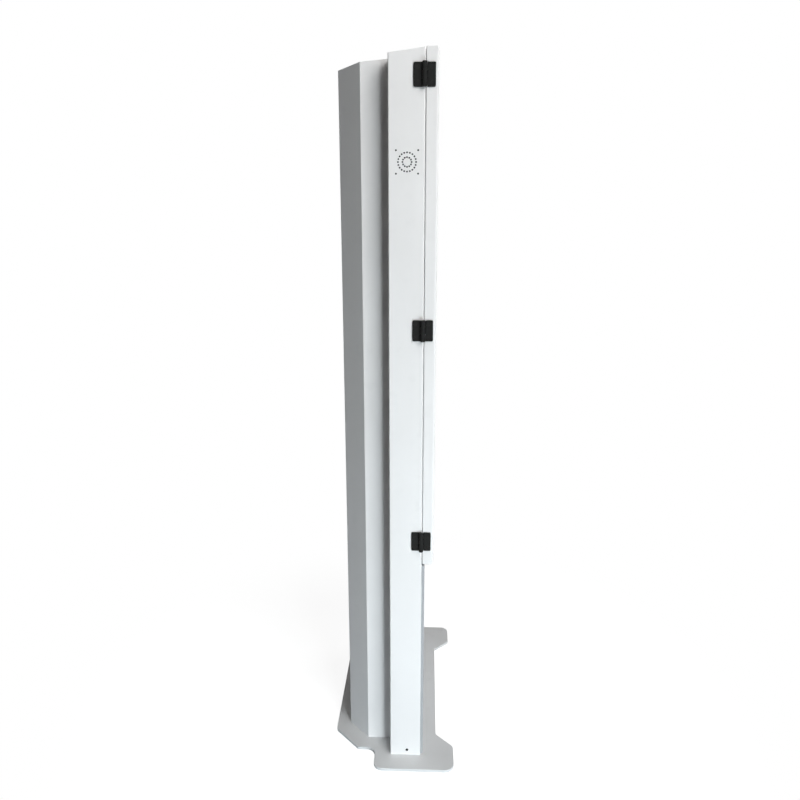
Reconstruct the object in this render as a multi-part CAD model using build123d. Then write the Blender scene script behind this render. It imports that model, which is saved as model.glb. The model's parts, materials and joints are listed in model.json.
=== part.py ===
from build123d import *
import os
from math import cos, pi, sin

# Floor-standing display kiosk, in millimetres. +Z is up, the screen faces -Y, the hinges are on -X.
# The origin is the centre of the base plate's underside.

# ---- Sheet metal, fits and clearances -----------------------------------------------------------
sheet = 2.0              # wall of the housing, the column and the door pan
bend_radius = 3.0        # outer radius of a folded corner
seat_gap = 0.2           # play of a piece dropped in between folded walls
thread_gap = 0.05        # radial play of a screw in its nut, and of a pin in its knuckle
hole_gap = 0.2           # radial play of a screw in a sheet
cover_thickness = 1.2    # thin sheet of bought-in cases and covers
through = 1.0            # how far a cutter reaches past the sheet it cuts

# ---- Base plate ---------------------------------------------------------------------------------
base_width = 686.0
base_depth = 340.0
base_thickness = 8.0
wing_length = 89.0       # straight front edge of each wing
wing_slant = 47.0        # run of the slanted edge beside it, along X
wing_projection = 49.0   # how far the wings stand in front of the middle
wing_radius = 26.0
wing_slant_radius = 18.0
recess_radius = 8.0
tail_depth = 119.0       # narrower rear part, from its notch to the rear edge
tail_inset = 76.0        # how much narrower it is on each side
notch_radius = 24.0
base_edge_radius = 0.8
taper_depth = 70.0       # slanted rear corners
taper_run = 72.0
taper_radius = 8.0
tail_radius = 22.0       # the plate's two rearmost corners

# ---- Front housing ------------------------------------------------------------------------------
housing_width = 580.0
housing_depth = 83.5
housing_height = 1812.0  # at its front, above the base plate
housing_setback = 93.5   # from the base plate's front edge to the housing's front face
roof_pitch = 7.9         # the housing's roof falls to the rear, in degrees
roof_skirt = 15.0
jamb_width = 20.0        # front face each side of the doorway
header_height = 23.0
sill_height = 22.0
kick_opening_margin = 28.0

# ---- Door ---------------------------------------------------------------------------------------
door_height = 1227.5
door_depth = 28.5
door_gap = 1.5
door_rise = 1.0          # the door stands this much above the housing's front edge
door_edge_radius = 6.0
door_bezel = 20.0        # visible steel around the glass
door_return = 18.0       # folded rear flange
seal_width = 10.0
seal_inset = 2.5
seal_gap = 0.3

# ---- Display ------------------------------------------------------------------------------------
glass_thickness = 4.0
glass_edge_play = 4.5    # from the glass's edge to the pan's wall
rail_thickness = 2.0
gasket_thickness = 3.0
gasket_width = 8.0
display_width = 557.0
display_height = 970.0
display_depth = 14.0
display_drop = 62.0      # from the door's top to the display's top
panel_thickness = 8.0
crossbar_height = 40.0
crossbar_inset = 60.0    # outer crossbars, from the display's ends
crossbar_end_gap = 2.0
driver_width = 200.0
driver_height = 200.0
driver_depth = 15.5
driver_shift = 0.65      # share of its width left of the middle
driver_rise = 10.0       # above the middle crossbar
driver_slots = 10
driver_slot_inset = 30.0
driver_slot_height = 4.0

# ---- Lower front panel --------------------------------------------------------------------------
kick_projection = 7.5
kick_side_inset = 2.0
kick_end_gap = 4.5

# ---- Rear column --------------------------------------------------------------------------------
column_width = 452.0
column_rear_width = 334.0
column_side_depth = 67.0
column_depth = 124.5
column_drop = 8.5        # its front top edge, below the housing's
column_roof_pitch = 5.0  # its roof falls less than the housing's, in degrees
column_lip = 20.0
column_mouth_margin = 40.0
column_screw_rows = 7
column_screw_end = 92.0

# ---- Rear service panel, power inlet and fans ---------------------------------------------------
service_width = 240.0
service_height = 500.0
service_rise = 292.0     # above the base plate
service_thickness = 1.5
service_lap = 15.0
slot_length = 80.0
slot_height = 4.0
slot_pitch = 14.0
slot_rows = 9
inlet_x = -90.0
inlet_rise = 120.0
inlet_width = 27.0
inlet_height = 56.0
inlet_depth = 26.0
inlet_flange = 4.0
inlet_pin_recess = 6.0
rocker_width = 19.0
rocker_height = 22.0
rocker_depth = 11.0
rocker_tilt = 8.0
rocker_pin = 1.54        # radius of its pivot pins
rocker_pin_length = 1.5
fan_size = 92.0
fan_thickness = 25.0
fan_offset = 60.0
fan_drop = 131.0         # below the column's front top edge
fan_screw_pitch = 82.5
fan_bore = 87.0
fan_hub = 38.0
fan_blades = 7
fan_blade_pitch = 35.0
fan_shaft = 4.0
fan_arm = 2.5            # depth of the arms and the plate that carry the shaft
guard_ring_radii = (14.0, 26.0, 38.0)
guard_ring_counts = (8, 14, 20)
guard_hole = 6.4

# ---- Hinges -------------------------------------------------------------------------------------
hinge_height = 50.0
hinge_half_width = 24.5
hinge_leaf = 4.0
hinge_barrel = 11.0
hinge_pin = 6.0
hinge_standoff = 8.0     # pin axis outside the housing's side
hinge_setback = 2.0      # pin axis behind the housing's front face
hinge_split_gap = 0.3
hinge_barrel_gap = 0.7   # from a barrel to the edge of a leaf
hinge_button = 0.8       # thickness of the pin's end buttons
hinge_web_sink = 0.5     # how far a barrel's web stays under the leaf's face
hinge_drop = 56.4        # upper hinge, below the housing's front top edge
hinge_lift = 64.8        # lower hinge, above the door's lower edge
hinge_middle_share = 0.492   # place of the middle hinge between the other two
hinge_screw_pitch = 30.0
hinge_screw_offset = 15.5
hinge_screw_end = 7.0    # thread showing inside the sheet

# ---- Cam locks ----------------------------------------------------------------------------------
upper_lock_drop = 360.0  # lock axes, below the housing's front top edge
lower_lock_drop = 920.0
lock_setback = 28.5      # lock axis behind the housing's front face
lock_body = 18.0
lock_plug = 12.0
lock_reach = 26.0        # how far the lock reaches inside the side wall
lock_flange = 2.5
lock_rim = 2.0           # how far the flange and the nut stand out past the barrel
lock_nut = 5.0
cam_thickness = 3.0
cam_width = 16.0
cam_reach = 26.0
catch_thickness = 2.0
catch_play = 1.5
catch_foot = 30.0
catch_offset = 7.5       # from the cam to the catch's leg

# ---- Speakers -----------------------------------------------------------------------------------
speaker_drop = 237.0     # below the housing's front top edge
speaker_setback = 40.5   # behind the housing's front face
speaker_stud_pitch = 50.0
speaker_plate = 58.0
speaker_mouth = 46.0
speaker_ring_radii = (20.5, 10.3)
speaker_ring_counts = (20, 12)
speaker_hole = 4.0
speaker_stud = 4.0
basket_depth = 20.0
basket_wall = 2.0
magnet_radius = 18.0
magnet_depth = 12.0

# ---- Equipment inside the housing ---------------------------------------------------------------
tray_width = 324.0
tray_height = 700.0
tray_drop = 240.0        # below the housing's front top edge
tray_standoff = 12.0
tray_foot = 28.0
player_size = (120.0, 36.0, 180.0)
player_x = -70.0
player_lift = 420.0      # above the tray's lower end, as are the next two
player_fin = 5.0
player_wall = 1.5
button_travel = 1.5
button_radius = 5.0
button_proud = 2.5
player_sockets = (-0.36, -0.12, 0.12, 0.36)
player_post = 6.0        # height of the posts under its board
processor_side = 36.0
processor_lift = 10.0    # above the board's middle
memory_size = (10.0, 3.0, 66.0)
memory_gap = 8.0         # from the processor
supply_size = (115.0, 30.0, 215.0)
supply_x = 85.0
supply_slots = 12
supply_slot_height = 5.0
supply_slot_low = 60.0   # lowest slot, above the case's lower end
supply_slot_inset = 20.0
transformer_size = (40.0, 18.0, 36.0)
transformer_lift = 110.0
capacitor_radius = 11.0
capacitor_length = 20.0
capacitor_lift = 78.0
board_thickness = 1.6
supply_lift = 300.0
terminal_size = (120.0, 20.0, 26.0)
terminal_lift = 50.0
terminal_ways = 8
grommet_bore = 40.0
grommet_hole = 50.0
grommet_fall = 120.0     # below the tray's lower end
grommet_lip = 5.0
grommet_bulge = 3.0      # how far each lip stands off the sheet

# ---- Fasteners ----------------------------------------------------------------------------------
m4, m5, m8 = 4.0, 5.0, 8.0
head_share = 0.95        # radius of a screw head or nut over the thread diameter
head_height_share = 0.5
bracket_thickness = 3.0
bracket_flange = 37.0
foot_screw_rise = 16.0
foot_screw_setback = 37.0 # behind the housing's front face
nut_share = 0.8          # nut height over thread diameter
thread_end = 2.0         # thread showing past a nut
bolt_head_share = 0.55   # height of a countersunk bolt head over its diameter
bolt_sink = 0.2          # that head's depth below the plate

# ---- Places worked out from the sizes above -----------------------------------------------------
floor_z = base_thickness
plate_front = -base_depth / 2
plate_rear = base_depth / 2
housing_front = plate_front + housing_setback
housing_rear = housing_front + housing_depth
housing_top = floor_z + housing_height
side_x = housing_width / 2
wall_x = side_x - sheet
back_y = housing_rear - sheet
door_rear = housing_front - door_gap
door_front = door_rear - door_depth
door_top = housing_top + door_rise
door_bottom = door_top - door_height
pan_back = door_rear - sheet
glass_front = door_front + sheet
glass_rear = glass_front + glass_thickness
display_front = glass_rear + gasket_thickness
display_rear = display_front + display_depth
display_top = door_top - display_drop
display_bottom = display_top - display_height
display_middle = (display_top + display_bottom) / 2
column_top = housing_top - column_drop
column_rear = housing_rear + column_depth
column_wall = column_rear - sheet
pin_x = -(side_x + hinge_standoff)
pin_y = housing_front + hinge_setback
lock_y = housing_front + lock_setback
speaker_y = housing_front + speaker_setback
speaker_z = housing_top - speaker_drop
tray_front = back_y - tray_standoff
tray_top = housing_top - tray_drop
tray_bottom = tray_top - tray_height
grommet_z = tray_bottom - grommet_fall
fan_z = column_top - fan_drop
inlet_z = floor_z + inlet_rise
rocker_pivot_z = inlet_z + 0.22 * inlet_height
rocker_pivot_y = column_rear - 0.25 * rocker_depth
foot_screw_z = floor_z + foot_screw_rise
foot_screw_y = housing_front + foot_screw_setback
service_bottom = floor_z + service_rise
service_top = service_bottom + service_height
hinge_heights = {"upper": housing_top - hinge_drop, "lower": door_bottom + hinge_lift}
hinge_heights["middle"] = (
    hinge_heights["lower"] + hinge_middle_share * (hinge_heights["upper"] - hinge_heights["lower"])
)
lock_heights = {"upper": housing_top - upper_lock_drop, "lower": housing_top - lower_lock_drop}


# ---- Shapes -------------------------------------------------------------------------------------
def block(x, y, z):
    """Box between a pair of limits along each axis."""
    centre = [(low + high) / 2 for low, high in (x, y, z)]
    return Pos(*centre) * Box(x[1] - x[0], y[1] - y[0], z[1] - z[0])


def rod_x(radius, x, y, z):
    return Pos((x[0] + x[1]) / 2, y, z) * Rot(0, 90, 0) * Cylinder(radius, x[1] - x[0])


def rod_y(radius, x, y, z):
    return Pos(x, (y[0] + y[1]) / 2, z) * Rot(90, 0, 0) * Cylinder(radius, y[1] - y[0])


def rod_z(radius, x, y, z):
    return Pos(x, y, (z[0] + z[1]) / 2) * Cylinder(radius, z[1] - z[0])


def cone_y(front_radius, rear_radius, x, y, z):
    """Cone along Y with its own radius at each end."""
    return Pos(x, (y[0] + y[1]) / 2, z) * Rot(-90, 0, 0) * Cone(front_radius, rear_radius, y[1] - y[0])


def hexagon_y(radius, x, y, z):
    nut = extrude(RegularPolygon(radius, 6), (y[1] - y[0]) / 2, both=True)
    return Pos(x, (y[0] + y[1]) / 2, z) * Rot(90, 0, 0) * nut


def turned_y(profile, x, z):
    """Solid of revolution about a line along Y; the profile is a list of (radius, y)."""
    face = make_face(Polyline(*[(radius, y) for radius, y in profile], close=True))
    return Pos(x, 0, z) * revolve(face, Axis.Y)


def plan_face(corners):
    outline = FilletPolyline(
        *[(x, y) for x, y, _ in corners], radius=[radius for _, _, radius in corners], close=True
    )
    return make_face(outline)


def prism(corners, z):
    """Upright prism over corners given as (x, y, radius)."""
    return extrude(Pos(0, 0, z[0]) * plan_face(corners), z[1] - z[0])


def mirrored(corners):
    """Close an outline given for +X by mirroring it, so both sides run round in one order."""
    return corners + [(-x, y, radius) for x, y, radius in reversed(corners)]


def above_roof(edge_y, edge_z, pitch, depth=0.0):
    """Everything above a roof plane through its front edge, lowered by a depth."""
    reach = 4 * base_width
    sky = Pos(0, 0, reach / 2 - depth) * Box(reach, reach, reach)
    return Pos(0, edge_y, edge_z) * Rot(-pitch, 0, 0) * sky


def both_sides(part):
    return [part, mirror(part, Plane.YZ)]


def spread(low, high, count):
    """Evenly spaced places from low to high."""
    return [low + (high - low) * step / (count - 1) for step in range(count)]


def ring(radius, count):
    """Places on a circle, as (across, up)."""
    return [(radius * cos(2 * pi * k / count), radius * sin(2 * pi * k / count)) for k in range(count)]


def square(pitch):
    half = pitch / 2
    return [(across, up) for across in (-half, half) for up in (-half, half)]


def button_screw(size, x, y, z, direction, length):
    """Button-head screw along Y: its head stands on the plane y, its shank runs in the direction."""
    head = rod_y(head_share * size, x, sorted((y - direction * head_height_share * size, y)), z)
    return head + rod_y(size / 2, x, sorted((y, y + direction * length)), z)


def nut_y(size, x, y, z, direction):
    """Nut on a screw along Y, starting on the plane y."""
    return hexagon_y(head_share * size, x, sorted((y, y + direction * nut_share * size)), z)


# ---- Base ---------------------------------------------------------------------------------------
def base_corners():
    half, tail = base_width / 2, base_width / 2 - tail_inset
    recess = plate_front + wing_projection
    return mirrored([
        (half - wing_length - wing_slant, recess, recess_radius),
        (half - wing_length, plate_front, wing_slant_radius),
        (half, plate_front, wing_radius),
        (half, plate_rear - tail_depth, notch_radius),
        (tail, plate_rear - tail_depth, notch_radius),
        (tail, plate_rear - taper_depth, taper_radius),
        (tail - taper_run, plate_rear, tail_radius),
    ])


def foot_bolt_places():
    """Four bolts under the housing and four under the column."""
    housing = [(x * housing_width / 2, foot_screw_y) for x in (-0.8, -0.38, 0.38, 0.8)]
    front = housing_rear + 0.2 * column_depth
    rear = housing_rear + 0.75 * column_depth
    column = [(x * column_width / 2, front) for x in (-0.7, 0.7)]
    column += [(x * column_rear_width / 2, rear) for x in (-0.65, 0.65)]
    return housing, column


def foot_bolt(x, y):
    """Countersunk bolt from below, through the plate and the bracket into a welded nut."""
    head_depth = bolt_head_share * m8
    head = Pos(x, y, bolt_sink + head_depth / 2) * Cone(m8, m8 / 2, head_depth)
    top = floor_z + bracket_thickness + nut_share * m8 + thread_end
    return head + rod_z(m8 / 2, x, y, (bolt_sink + head_depth, top))


def foot_bolt_hole(x, y):
    """Countersunk hole for that bolt."""
    sink = bolt_head_share * m8 + bolt_sink
    wide, narrow = m8 + 2 * hole_gap, m8 / 2 + hole_gap
    return Pos(x, y, sink / 2) * Cone(wide, narrow, sink) + rod_z(narrow, x, y, (0, floor_z))


def base_plate():
    plate = prism(base_corners(), (0, base_thickness))
    plate = fillet(plate.edges().group_by(Axis.Z)[-1], base_edge_radius)
    housing, column = foot_bolt_places()
    for x, y in housing + column:
        plate -= foot_bolt_hole(x, y)
    return plate


def bracket_nuts(bracket, places):
    """Weld a nut over each bolt hole of a foot bracket."""
    low = floor_z + bracket_thickness
    for x, y in places:
        nut = extrude(Pos(x, y, low) * RegularPolygon(head_share * m8, 6), nut_share * m8)
        bracket += nut
        bracket -= rod_z(m8 / 2 + thread_gap, x, y, (floor_z - 1, low + 2 * m8))
    return bracket


def housing_bracket():
    """Channel inside the foot of the housing, with a flange against each side wall."""
    end = wall_x - seat_gap
    depth = (housing_front + bend_radius, housing_rear - bend_radius)
    bracket = block((-end, end), depth, (floor_z, floor_z + bracket_thickness))
    for flange in both_sides(block((end - bracket_thickness, end), depth,
                                   (floor_z, floor_z + bracket_flange))):
        bracket += flange
    bracket -= rod_x(m4 / 2 + thread_gap, (-side_x, side_x), foot_screw_y, foot_screw_z)
    return bracket_nuts(bracket, foot_bolt_places()[0])


def column_bracket():
    """Plate that fills the foot of the column, with a flange against each side wall."""
    end = column_width / 2 - sheet - seat_gap
    low = (floor_z, floor_z + bracket_thickness)
    bracket = extrude(Pos(0, 0, low[0]) * offset(column_face(), -(sheet + seat_gap)), bracket_thickness)
    sides = (housing_rear + sheet + 2, housing_rear + column_side_depth - 4)
    for flange in both_sides(block((end - bracket_thickness, end), sides,
                                   (floor_z, floor_z + bracket_flange))):
        bracket += flange
    return bracket_nuts(bracket, foot_bolt_places()[1])


# ---- Housing ------------------------------------------------------------------------------------
def housing_prism(inset, radius):
    """The housing's outline drawn in by an inset, taller than its roof."""
    half = side_x - inset
    front, rear = housing_front + inset, housing_rear - inset
    corners = mirrored([(half, front, radius), (half, rear, radius)])
    return prism(corners, (floor_z, housing_top + sheet))


def speaker_perforation():
    """Round holes in two rings, and four stud holes, through the +X side wall."""
    wall = (wall_x - through, side_x + through)
    cutter = [
        rod_x(speaker_hole / 2, wall, speaker_y + across, speaker_z + up)
        for radius, count in zip(speaker_ring_radii, speaker_ring_counts)
        for across, up in ring(radius, count)
    ]
    cutter += [
        rod_x(speaker_stud / 2 + thread_gap, wall, speaker_y + across, speaker_z + up)
        for across, up in square(speaker_stud_pitch)
    ]
    return cutter


def hinge_screw_holes(direction, radius, x):
    """Holes for one side's hinge screws: direction +1 is the housing, -1 the door."""
    return [
        rod_x(radius, x, pin_y + direction * hinge_screw_offset, z + up)
        for z in hinge_heights.values()
        for up in (-hinge_screw_pitch / 2, hinge_screw_pitch / 2)
    ]


def kick_screw_places():
    across = side_x - jamb_width / 2 - kick_side_inset
    low, high = kick_limits()
    inset = kick_opening_margin / 2 + kick_end_gap
    return [(side * across, z) for side in (-1, 1) for z in spread(low + inset, high - inset, 3)]


def kick_limits():
    return floor_z + kick_end_gap, door_bottom - kick_end_gap - 1


def column_screw_places():
    across = column_width / 2 - column_lip / 2
    heights = spread(floor_z + column_screw_end, column_top - column_screw_end, column_screw_rows)
    return [(side * across, z) for side in (-1, 1) for z in heights]


def tray_screw_places():
    across = tray_width / 2 + tray_foot / 2
    margin = 1.5 * tray_foot
    heights = spread(tray_bottom + margin, tray_top - margin, 3)
    return [(side * across, z) for side in (-1, 1) for z in heights]


def housing_shell():
    shell = housing_prism(0, bend_radius) - housing_prism(sheet, bend_radius - sheet)
    shell -= above_roof(housing_front, housing_top, roof_pitch)
    doorway = side_x - jamb_width
    front = (housing_front - through, housing_front + sheet + through)
    sill = door_bottom + sill_height
    shell -= block((-doorway, doorway), front, (sill, housing_top - header_height))
    kick_low, kick_high = kick_limits()
    kick_side = doorway - kick_opening_margin / 2
    shell -= block((-kick_side, kick_side), front,
                   (kick_low + kick_opening_margin, kick_high - kick_opening_margin))
    back = (back_y - through, housing_rear + through)
    shell -= rod_y(grommet_hole / 2, 0, back, grommet_z)
    for cutter in speaker_perforation():
        shell -= both_sides(cutter)
    shell -= hinge_screw_holes(1, m5 / 2 + hole_gap, (-side_x - through, -wall_x + through))
    wall = (wall_x - through, side_x + through)
    for z in lock_heights.values():
        shell -= rod_x(lock_body / 2 + hole_gap, wall, lock_y, z)
    shell -= rod_x(m4 / 2 + hole_gap, (-side_x - through, side_x + through), foot_screw_y, foot_screw_z)
    shell -= [rod_y(m5 / 2 + hole_gap, x, front, z) for x, z in kick_screw_places()]
    shell -= [rod_y(m5 / 2 + hole_gap, x, back, z) for x, z in column_screw_places()]
    shell -= [rod_y(m4 / 2 + hole_gap, x, back, z) for x, z in tray_screw_places()]
    return shell


def pitched_lid(plan, thin_plan, *roof):
    """Sheet lid with a skirt turned down all round, under the roof plane of an edge and a pitch."""
    lid = plan - above_roof(*roof)
    lid &= above_roof(*roof, roof_skirt)
    return lid - (thin_plan - above_roof(*roof, sheet))


def housing_roof():
    play = sheet + seat_gap
    plan = housing_prism(play, bend_radius - sheet)
    thin = housing_prism(play + sheet, 0)
    return pitched_lid(plan, thin, housing_front, housing_top, roof_pitch)


def foot_screws():
    """Small button-head screw through each side wall into the foot bracket."""
    inner = wall_x - seat_gap - bracket_thickness - thread_end
    screw = rod_x(m4 / 2, (inner, side_x), foot_screw_y, foot_screw_z)
    screw += rod_x(head_share * m4, (side_x, side_x + head_height_share * m4), foot_screw_y, foot_screw_z)
    return both_sides(screw)


def kick_panel():
    """Shallow pan below the door, proud of the housing's front."""
    half = side_x - kick_side_inset
    low, high = kick_limits()
    face = housing_front - kick_projection
    outer = block((-half, half), (face, housing_front), (low, high))
    inner = block((-half + sheet, half - sheet), (face + sheet, housing_front),
                  (low + sheet, high - sheet))
    outer = fillet(outer.edges().group_by(Axis.Y)[0], min(bend_radius, kick_projection / 2))
    pan = outer - inner
    for x, z in kick_screw_places():
        pan -= kick_screw(x, z, hole_gap)
    return pan


def kick_screw(x, z, play):
    """Countersunk screw in the lower front panel, or with some play the hole for it."""
    front = housing_front - kick_projection
    head = cone_y(0.9 * m5 + play, m5 / 2 + play, x, (front, front + sheet), z)
    return head + rod_y(m5 / 2 + play, x, (front + sheet, housing_front + 3 * sheet), z)


def kick_screws():
    return [kick_screw(x, z, 0) for x, z in kick_screw_places()]


# ---- Rear column --------------------------------------------------------------------------------
def column_face():
    """Plan of the column: straight sides, then slanted corners to a narrower rear."""
    half, rear_half = column_width / 2, column_rear_width / 2
    return plan_face(mirrored([
        (half, housing_rear, 0),
        (half, housing_rear + column_side_depth, bend_radius),
        (rear_half, column_rear, bend_radius),
    ]))


def column_prism(inset):
    plan = offset(column_face(), -inset) if inset else column_face()
    return extrude(Pos(0, 0, floor_z) * plan, column_top + sheet - floor_z)


def fan_centres():
    return [(-fan_offset, fan_z), (fan_offset, fan_z)]


def fan_grille(x, z):
    """Guard holes in three rings and the four screw holes of one fan."""
    wall = (column_wall - through, column_rear + through)
    rings = zip(guard_ring_radii, guard_ring_counts)
    places = [place for radius, count in rings for place in ring(radius, count)]
    cutter = [rod_y(guard_hole / 2, x + across, wall, z + up) for across, up in places]
    cutter += [
        rod_y(m4 / 2 + hole_gap, x + across, wall, z + up) for across, up in square(fan_screw_pitch)
    ]
    return cutter


def service_screw_places():
    across = service_width / 2 - service_lap / 2
    return [(side * across, z) for side in (-1, 1)
            for z in spread(service_bottom + service_lap / 2, service_top - service_lap / 2, 3)]


def column_shell():
    shell = column_prism(0) - column_prism(sheet)
    shell -= above_roof(housing_rear, column_top, column_roof_pitch)
    mouth = column_width / 2 - column_lip
    front = (housing_rear - through, housing_rear + sheet + through)
    shell -= block((-mouth, mouth), front,
                   (floor_z + column_mouth_margin, column_top - column_mouth_margin))
    rear = (column_wall - through, column_rear + through)
    opening = service_width / 2 - service_lap
    shell -= block((-opening, opening), rear, (service_bottom + service_lap, service_top - service_lap))
    shell -= block((inlet_x - inlet_width / 2 - hole_gap, inlet_x + inlet_width / 2 + hole_gap), rear,
                   (inlet_z - inlet_height / 2 - hole_gap, inlet_z + inlet_height / 2 + hole_gap))
    for x, z in fan_centres():
        shell -= fan_grille(x, z)
    shell -= [rod_y(m5 / 2 + hole_gap, x, front, z) for x, z in column_screw_places()]
    shell -= [rod_y(m4 / 2 + hole_gap, x, rear, z) for x, z in service_screw_places()]
    return shell


def column_roof():
    play = sheet + seat_gap
    outer, inner = column_prism(play), column_prism(play + sheet)
    return pitched_lid(outer, inner, housing_rear, column_top, column_roof_pitch)


def column_screws():
    """Screws from inside the housing that hold the column on, each with its nut."""
    screws = []
    for x, z in column_screw_places():
        screw = button_screw(m5, x, back_y, z, 1, 2 * sheet + m5)
        screws.append(screw + nut_y(m5, x, housing_rear + sheet, z, 1))
    return screws


def service_panel():
    """Cover over the opening in the column's rear, with air slots in its lower half."""
    half = service_width / 2
    skin = (column_rear, column_rear + service_thickness)
    panel = block((-half, half), skin, (service_bottom, service_top))
    cut = (skin[0] - through, skin[1] + through)
    first = service_bottom + 3 * service_lap
    for side in (-1, 1):
        centre = side * service_width / 4
        for row in range(slot_rows):
            z = first + row * slot_pitch
            panel -= block((centre - slot_length / 2, centre + slot_length / 2), cut,
                           (z - slot_height / 2, z + slot_height / 2))
    return panel - [rod_y(m4 / 2 + hole_gap, x, cut, z) for x, z in service_screw_places()]


def service_screws():
    seat = column_rear + service_thickness
    return [button_screw(m4, x, seat, z, -1, service_thickness + sheet + 4)
            for x, z in service_screw_places()]


def power_inlet():
    """Appliance inlet with a rocker opening above it, clipped into the column's rear."""
    half_w, half_h = inlet_width / 2, inlet_height / 2
    z = (inlet_z - half_h, inlet_z + half_h)
    body = block((inlet_x - half_w, inlet_x + half_w), (column_rear - inlet_depth, column_rear), z)
    body += block((inlet_x - half_w - inlet_flange, inlet_x + half_w + inlet_flange),
                  (column_rear, column_rear + sheet), (z[0] - inlet_flange, z[1] + inlet_flange))
    socket_z = z[0] + 0.3 * inlet_height
    mouth = (column_rear - 0.7 * inlet_depth, column_rear + sheet + 1)
    body -= block((inlet_x - 0.42 * inlet_width, inlet_x + 0.42 * inlet_width), mouth,
                  (socket_z - 0.14 * inlet_height, socket_z + 0.14 * inlet_height))
    for across in (-0.25, 0, 0.25):
        pin = (inlet_x + across * inlet_width - 1, inlet_x + across * inlet_width + 1)
        body += block(pin, (mouth[0], column_rear - inlet_pin_recess), (socket_z - 2, socket_z + 2))
    rocker_z = rocker_pivot_z
    play = 0.5
    body -= block((inlet_x - rocker_width / 2 - play, inlet_x + rocker_width / 2 + play),
                  (column_rear - rocker_depth, column_rear + sheet + 1),
                  (rocker_z - rocker_height / 2 - 2 * play, rocker_z + rocker_height / 2 + 2 * play))
    socket = rocker_width / 2 + rocker_pin_length + play
    return body - rod_x(rocker_pin + thread_gap, (inlet_x - socket, inlet_x + socket),
                        rocker_pivot_y, rocker_z)


def power_rocker():
    """Rocker with two faces that meet over its pivot, tilted to its off position."""
    y, z = rocker_pivot_y, rocker_pivot_z
    half = rocker_height / 2
    crown, edge, heel = 0.42 * rocker_depth, 0.34 * rocker_depth, 0.5 * rocker_depth
    profile = Polyline((0, -heel, -0.8 * half), (0, edge, -half), (0, crown, 0), (0, edge, half),
                       (0, -heel, 0.8 * half), close=True)
    body = extrude(make_face(profile), rocker_width / 2, both=True)
    body = Rot(rocker_tilt, 0, 0) * body
    end = rocker_width / 2 + rocker_pin_length
    return Pos(inlet_x, y, z) * body + rod_x(rocker_pin, (inlet_x - end, inlet_x + end), y, z)


# ---- Fans ---------------------------------------------------------------------------------------
def fan_frame(x, z):
    """Square frame with a round bore; a hub with a shaft is carried on four arms."""
    half = fan_size / 2
    inner = column_wall - fan_thickness
    frame = block((x - half, x + half), (inner, column_wall), (z - half, z + half))
    frame = fillet(frame.edges().filter_by(Axis.Y), 4)
    cut = (inner - through, column_wall + through)
    frame -= rod_y(fan_bore / 2, x, cut, z)
    for angle in (45, 135):
        arm = Box(fan_bore + 1, fan_arm, 2 * fan_arm)
        frame += Pos(x, inner + fan_arm / 2, z) * Rot(0, angle, 0) * arm
    frame += rod_y(fan_hub / 2, x, (inner, inner + fan_arm), z)
    frame += rod_y(fan_shaft / 2, x, (inner, column_wall - 5), z)
    return frame - [rod_y(m4 / 2 + hole_gap, x + across, cut, z + up)
                    for across, up in square(fan_screw_pitch)]


def fan_rotor(x, z):
    """Hub that turns on the frame's shaft, with pitched blades."""
    low = column_wall - fan_thickness + fan_arm + 1
    high = column_wall - 3
    middle = (low + high) / 2
    rotor = rod_y(fan_hub / 2, x, (low, high), z)
    inner, outer = fan_hub / 2 - 2, fan_bore / 2 - 1.5
    reach = (inner + outer) / 2
    blades = [
        Rot(0, 360 * k / fan_blades, 0) * Pos(reach, 0, 0) * Rot(fan_blade_pitch, 0, 0)
        * Box(outer - inner, 1.6, 24)
        for k in range(fan_blades)
    ]
    swept = Rot(90, 0, 0) * Cylinder(outer, high - low)
    rotor += [Pos(x, middle, z) * (blade & swept) for blade in blades]
    return rotor - rod_y(fan_shaft / 2 + thread_gap, x, (low - 1, column_wall - 4.5), z)


def fan_screws():
    return [
        button_screw(m4, x + across, column_rear, z + up, -1, sheet + 6)
        for x, z in fan_centres()
        for across, up in square(fan_screw_pitch)
    ]


# ---- Equipment ----------------------------------------------------------------------------------
def cable_grommet():
    """Rubber ring snapped into the hole between housing and column."""
    bore, neck, lip = grommet_bore / 2, grommet_hole / 2, grommet_hole / 2 + grommet_lip
    front, rear = back_y - grommet_bulge, housing_rear + grommet_bulge
    profile = [(bore, front), (lip - 1, front), (lip, front + 1), (lip, back_y), (neck, back_y),
               (neck, housing_rear), (lip, housing_rear), (lip, rear - 1), (lip - 1, rear), (bore, rear)]
    return turned_y(profile, 0, grommet_z)


def equipment_tray():
    """Hat-section plate on the housing's back wall."""
    half = tray_width / 2
    foot = half + tray_foot
    corners = mirrored([
        (half, tray_front, 0), (half, back_y - sheet, 0), (foot, back_y - sheet, 0), (foot, back_y, 0),
        (half - sheet, back_y, 0), (half - sheet, tray_front + sheet, 0),
    ])
    tray = prism(corners, (tray_bottom, tray_top))
    holes = (back_y - sheet - 1, back_y + 1)
    return tray - [rod_y(m4 / 2 + hole_gap, x, holes, z) for x, z in tray_screw_places()]


def tray_screws():
    seat = back_y - sheet
    return [button_screw(m4, x, seat, z, 1, 2 * sheet + m4) for x, z in tray_screw_places()]


def case_limits(size, x, lift, wall=0.0):
    """Limits of a case that stands on the equipment tray, drawn in by its wall."""
    width, depth, height = size
    low = tray_bottom + lift
    return ((x - width / 2 + wall, x + width / 2 - wall), (tray_front - depth + wall, tray_front - wall),
            (low + wall, low + height - wall))


def player_button_place():
    return player_x + 0.33 * player_size[0], tray_bottom + player_lift + 0.09 * player_size[2]


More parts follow.
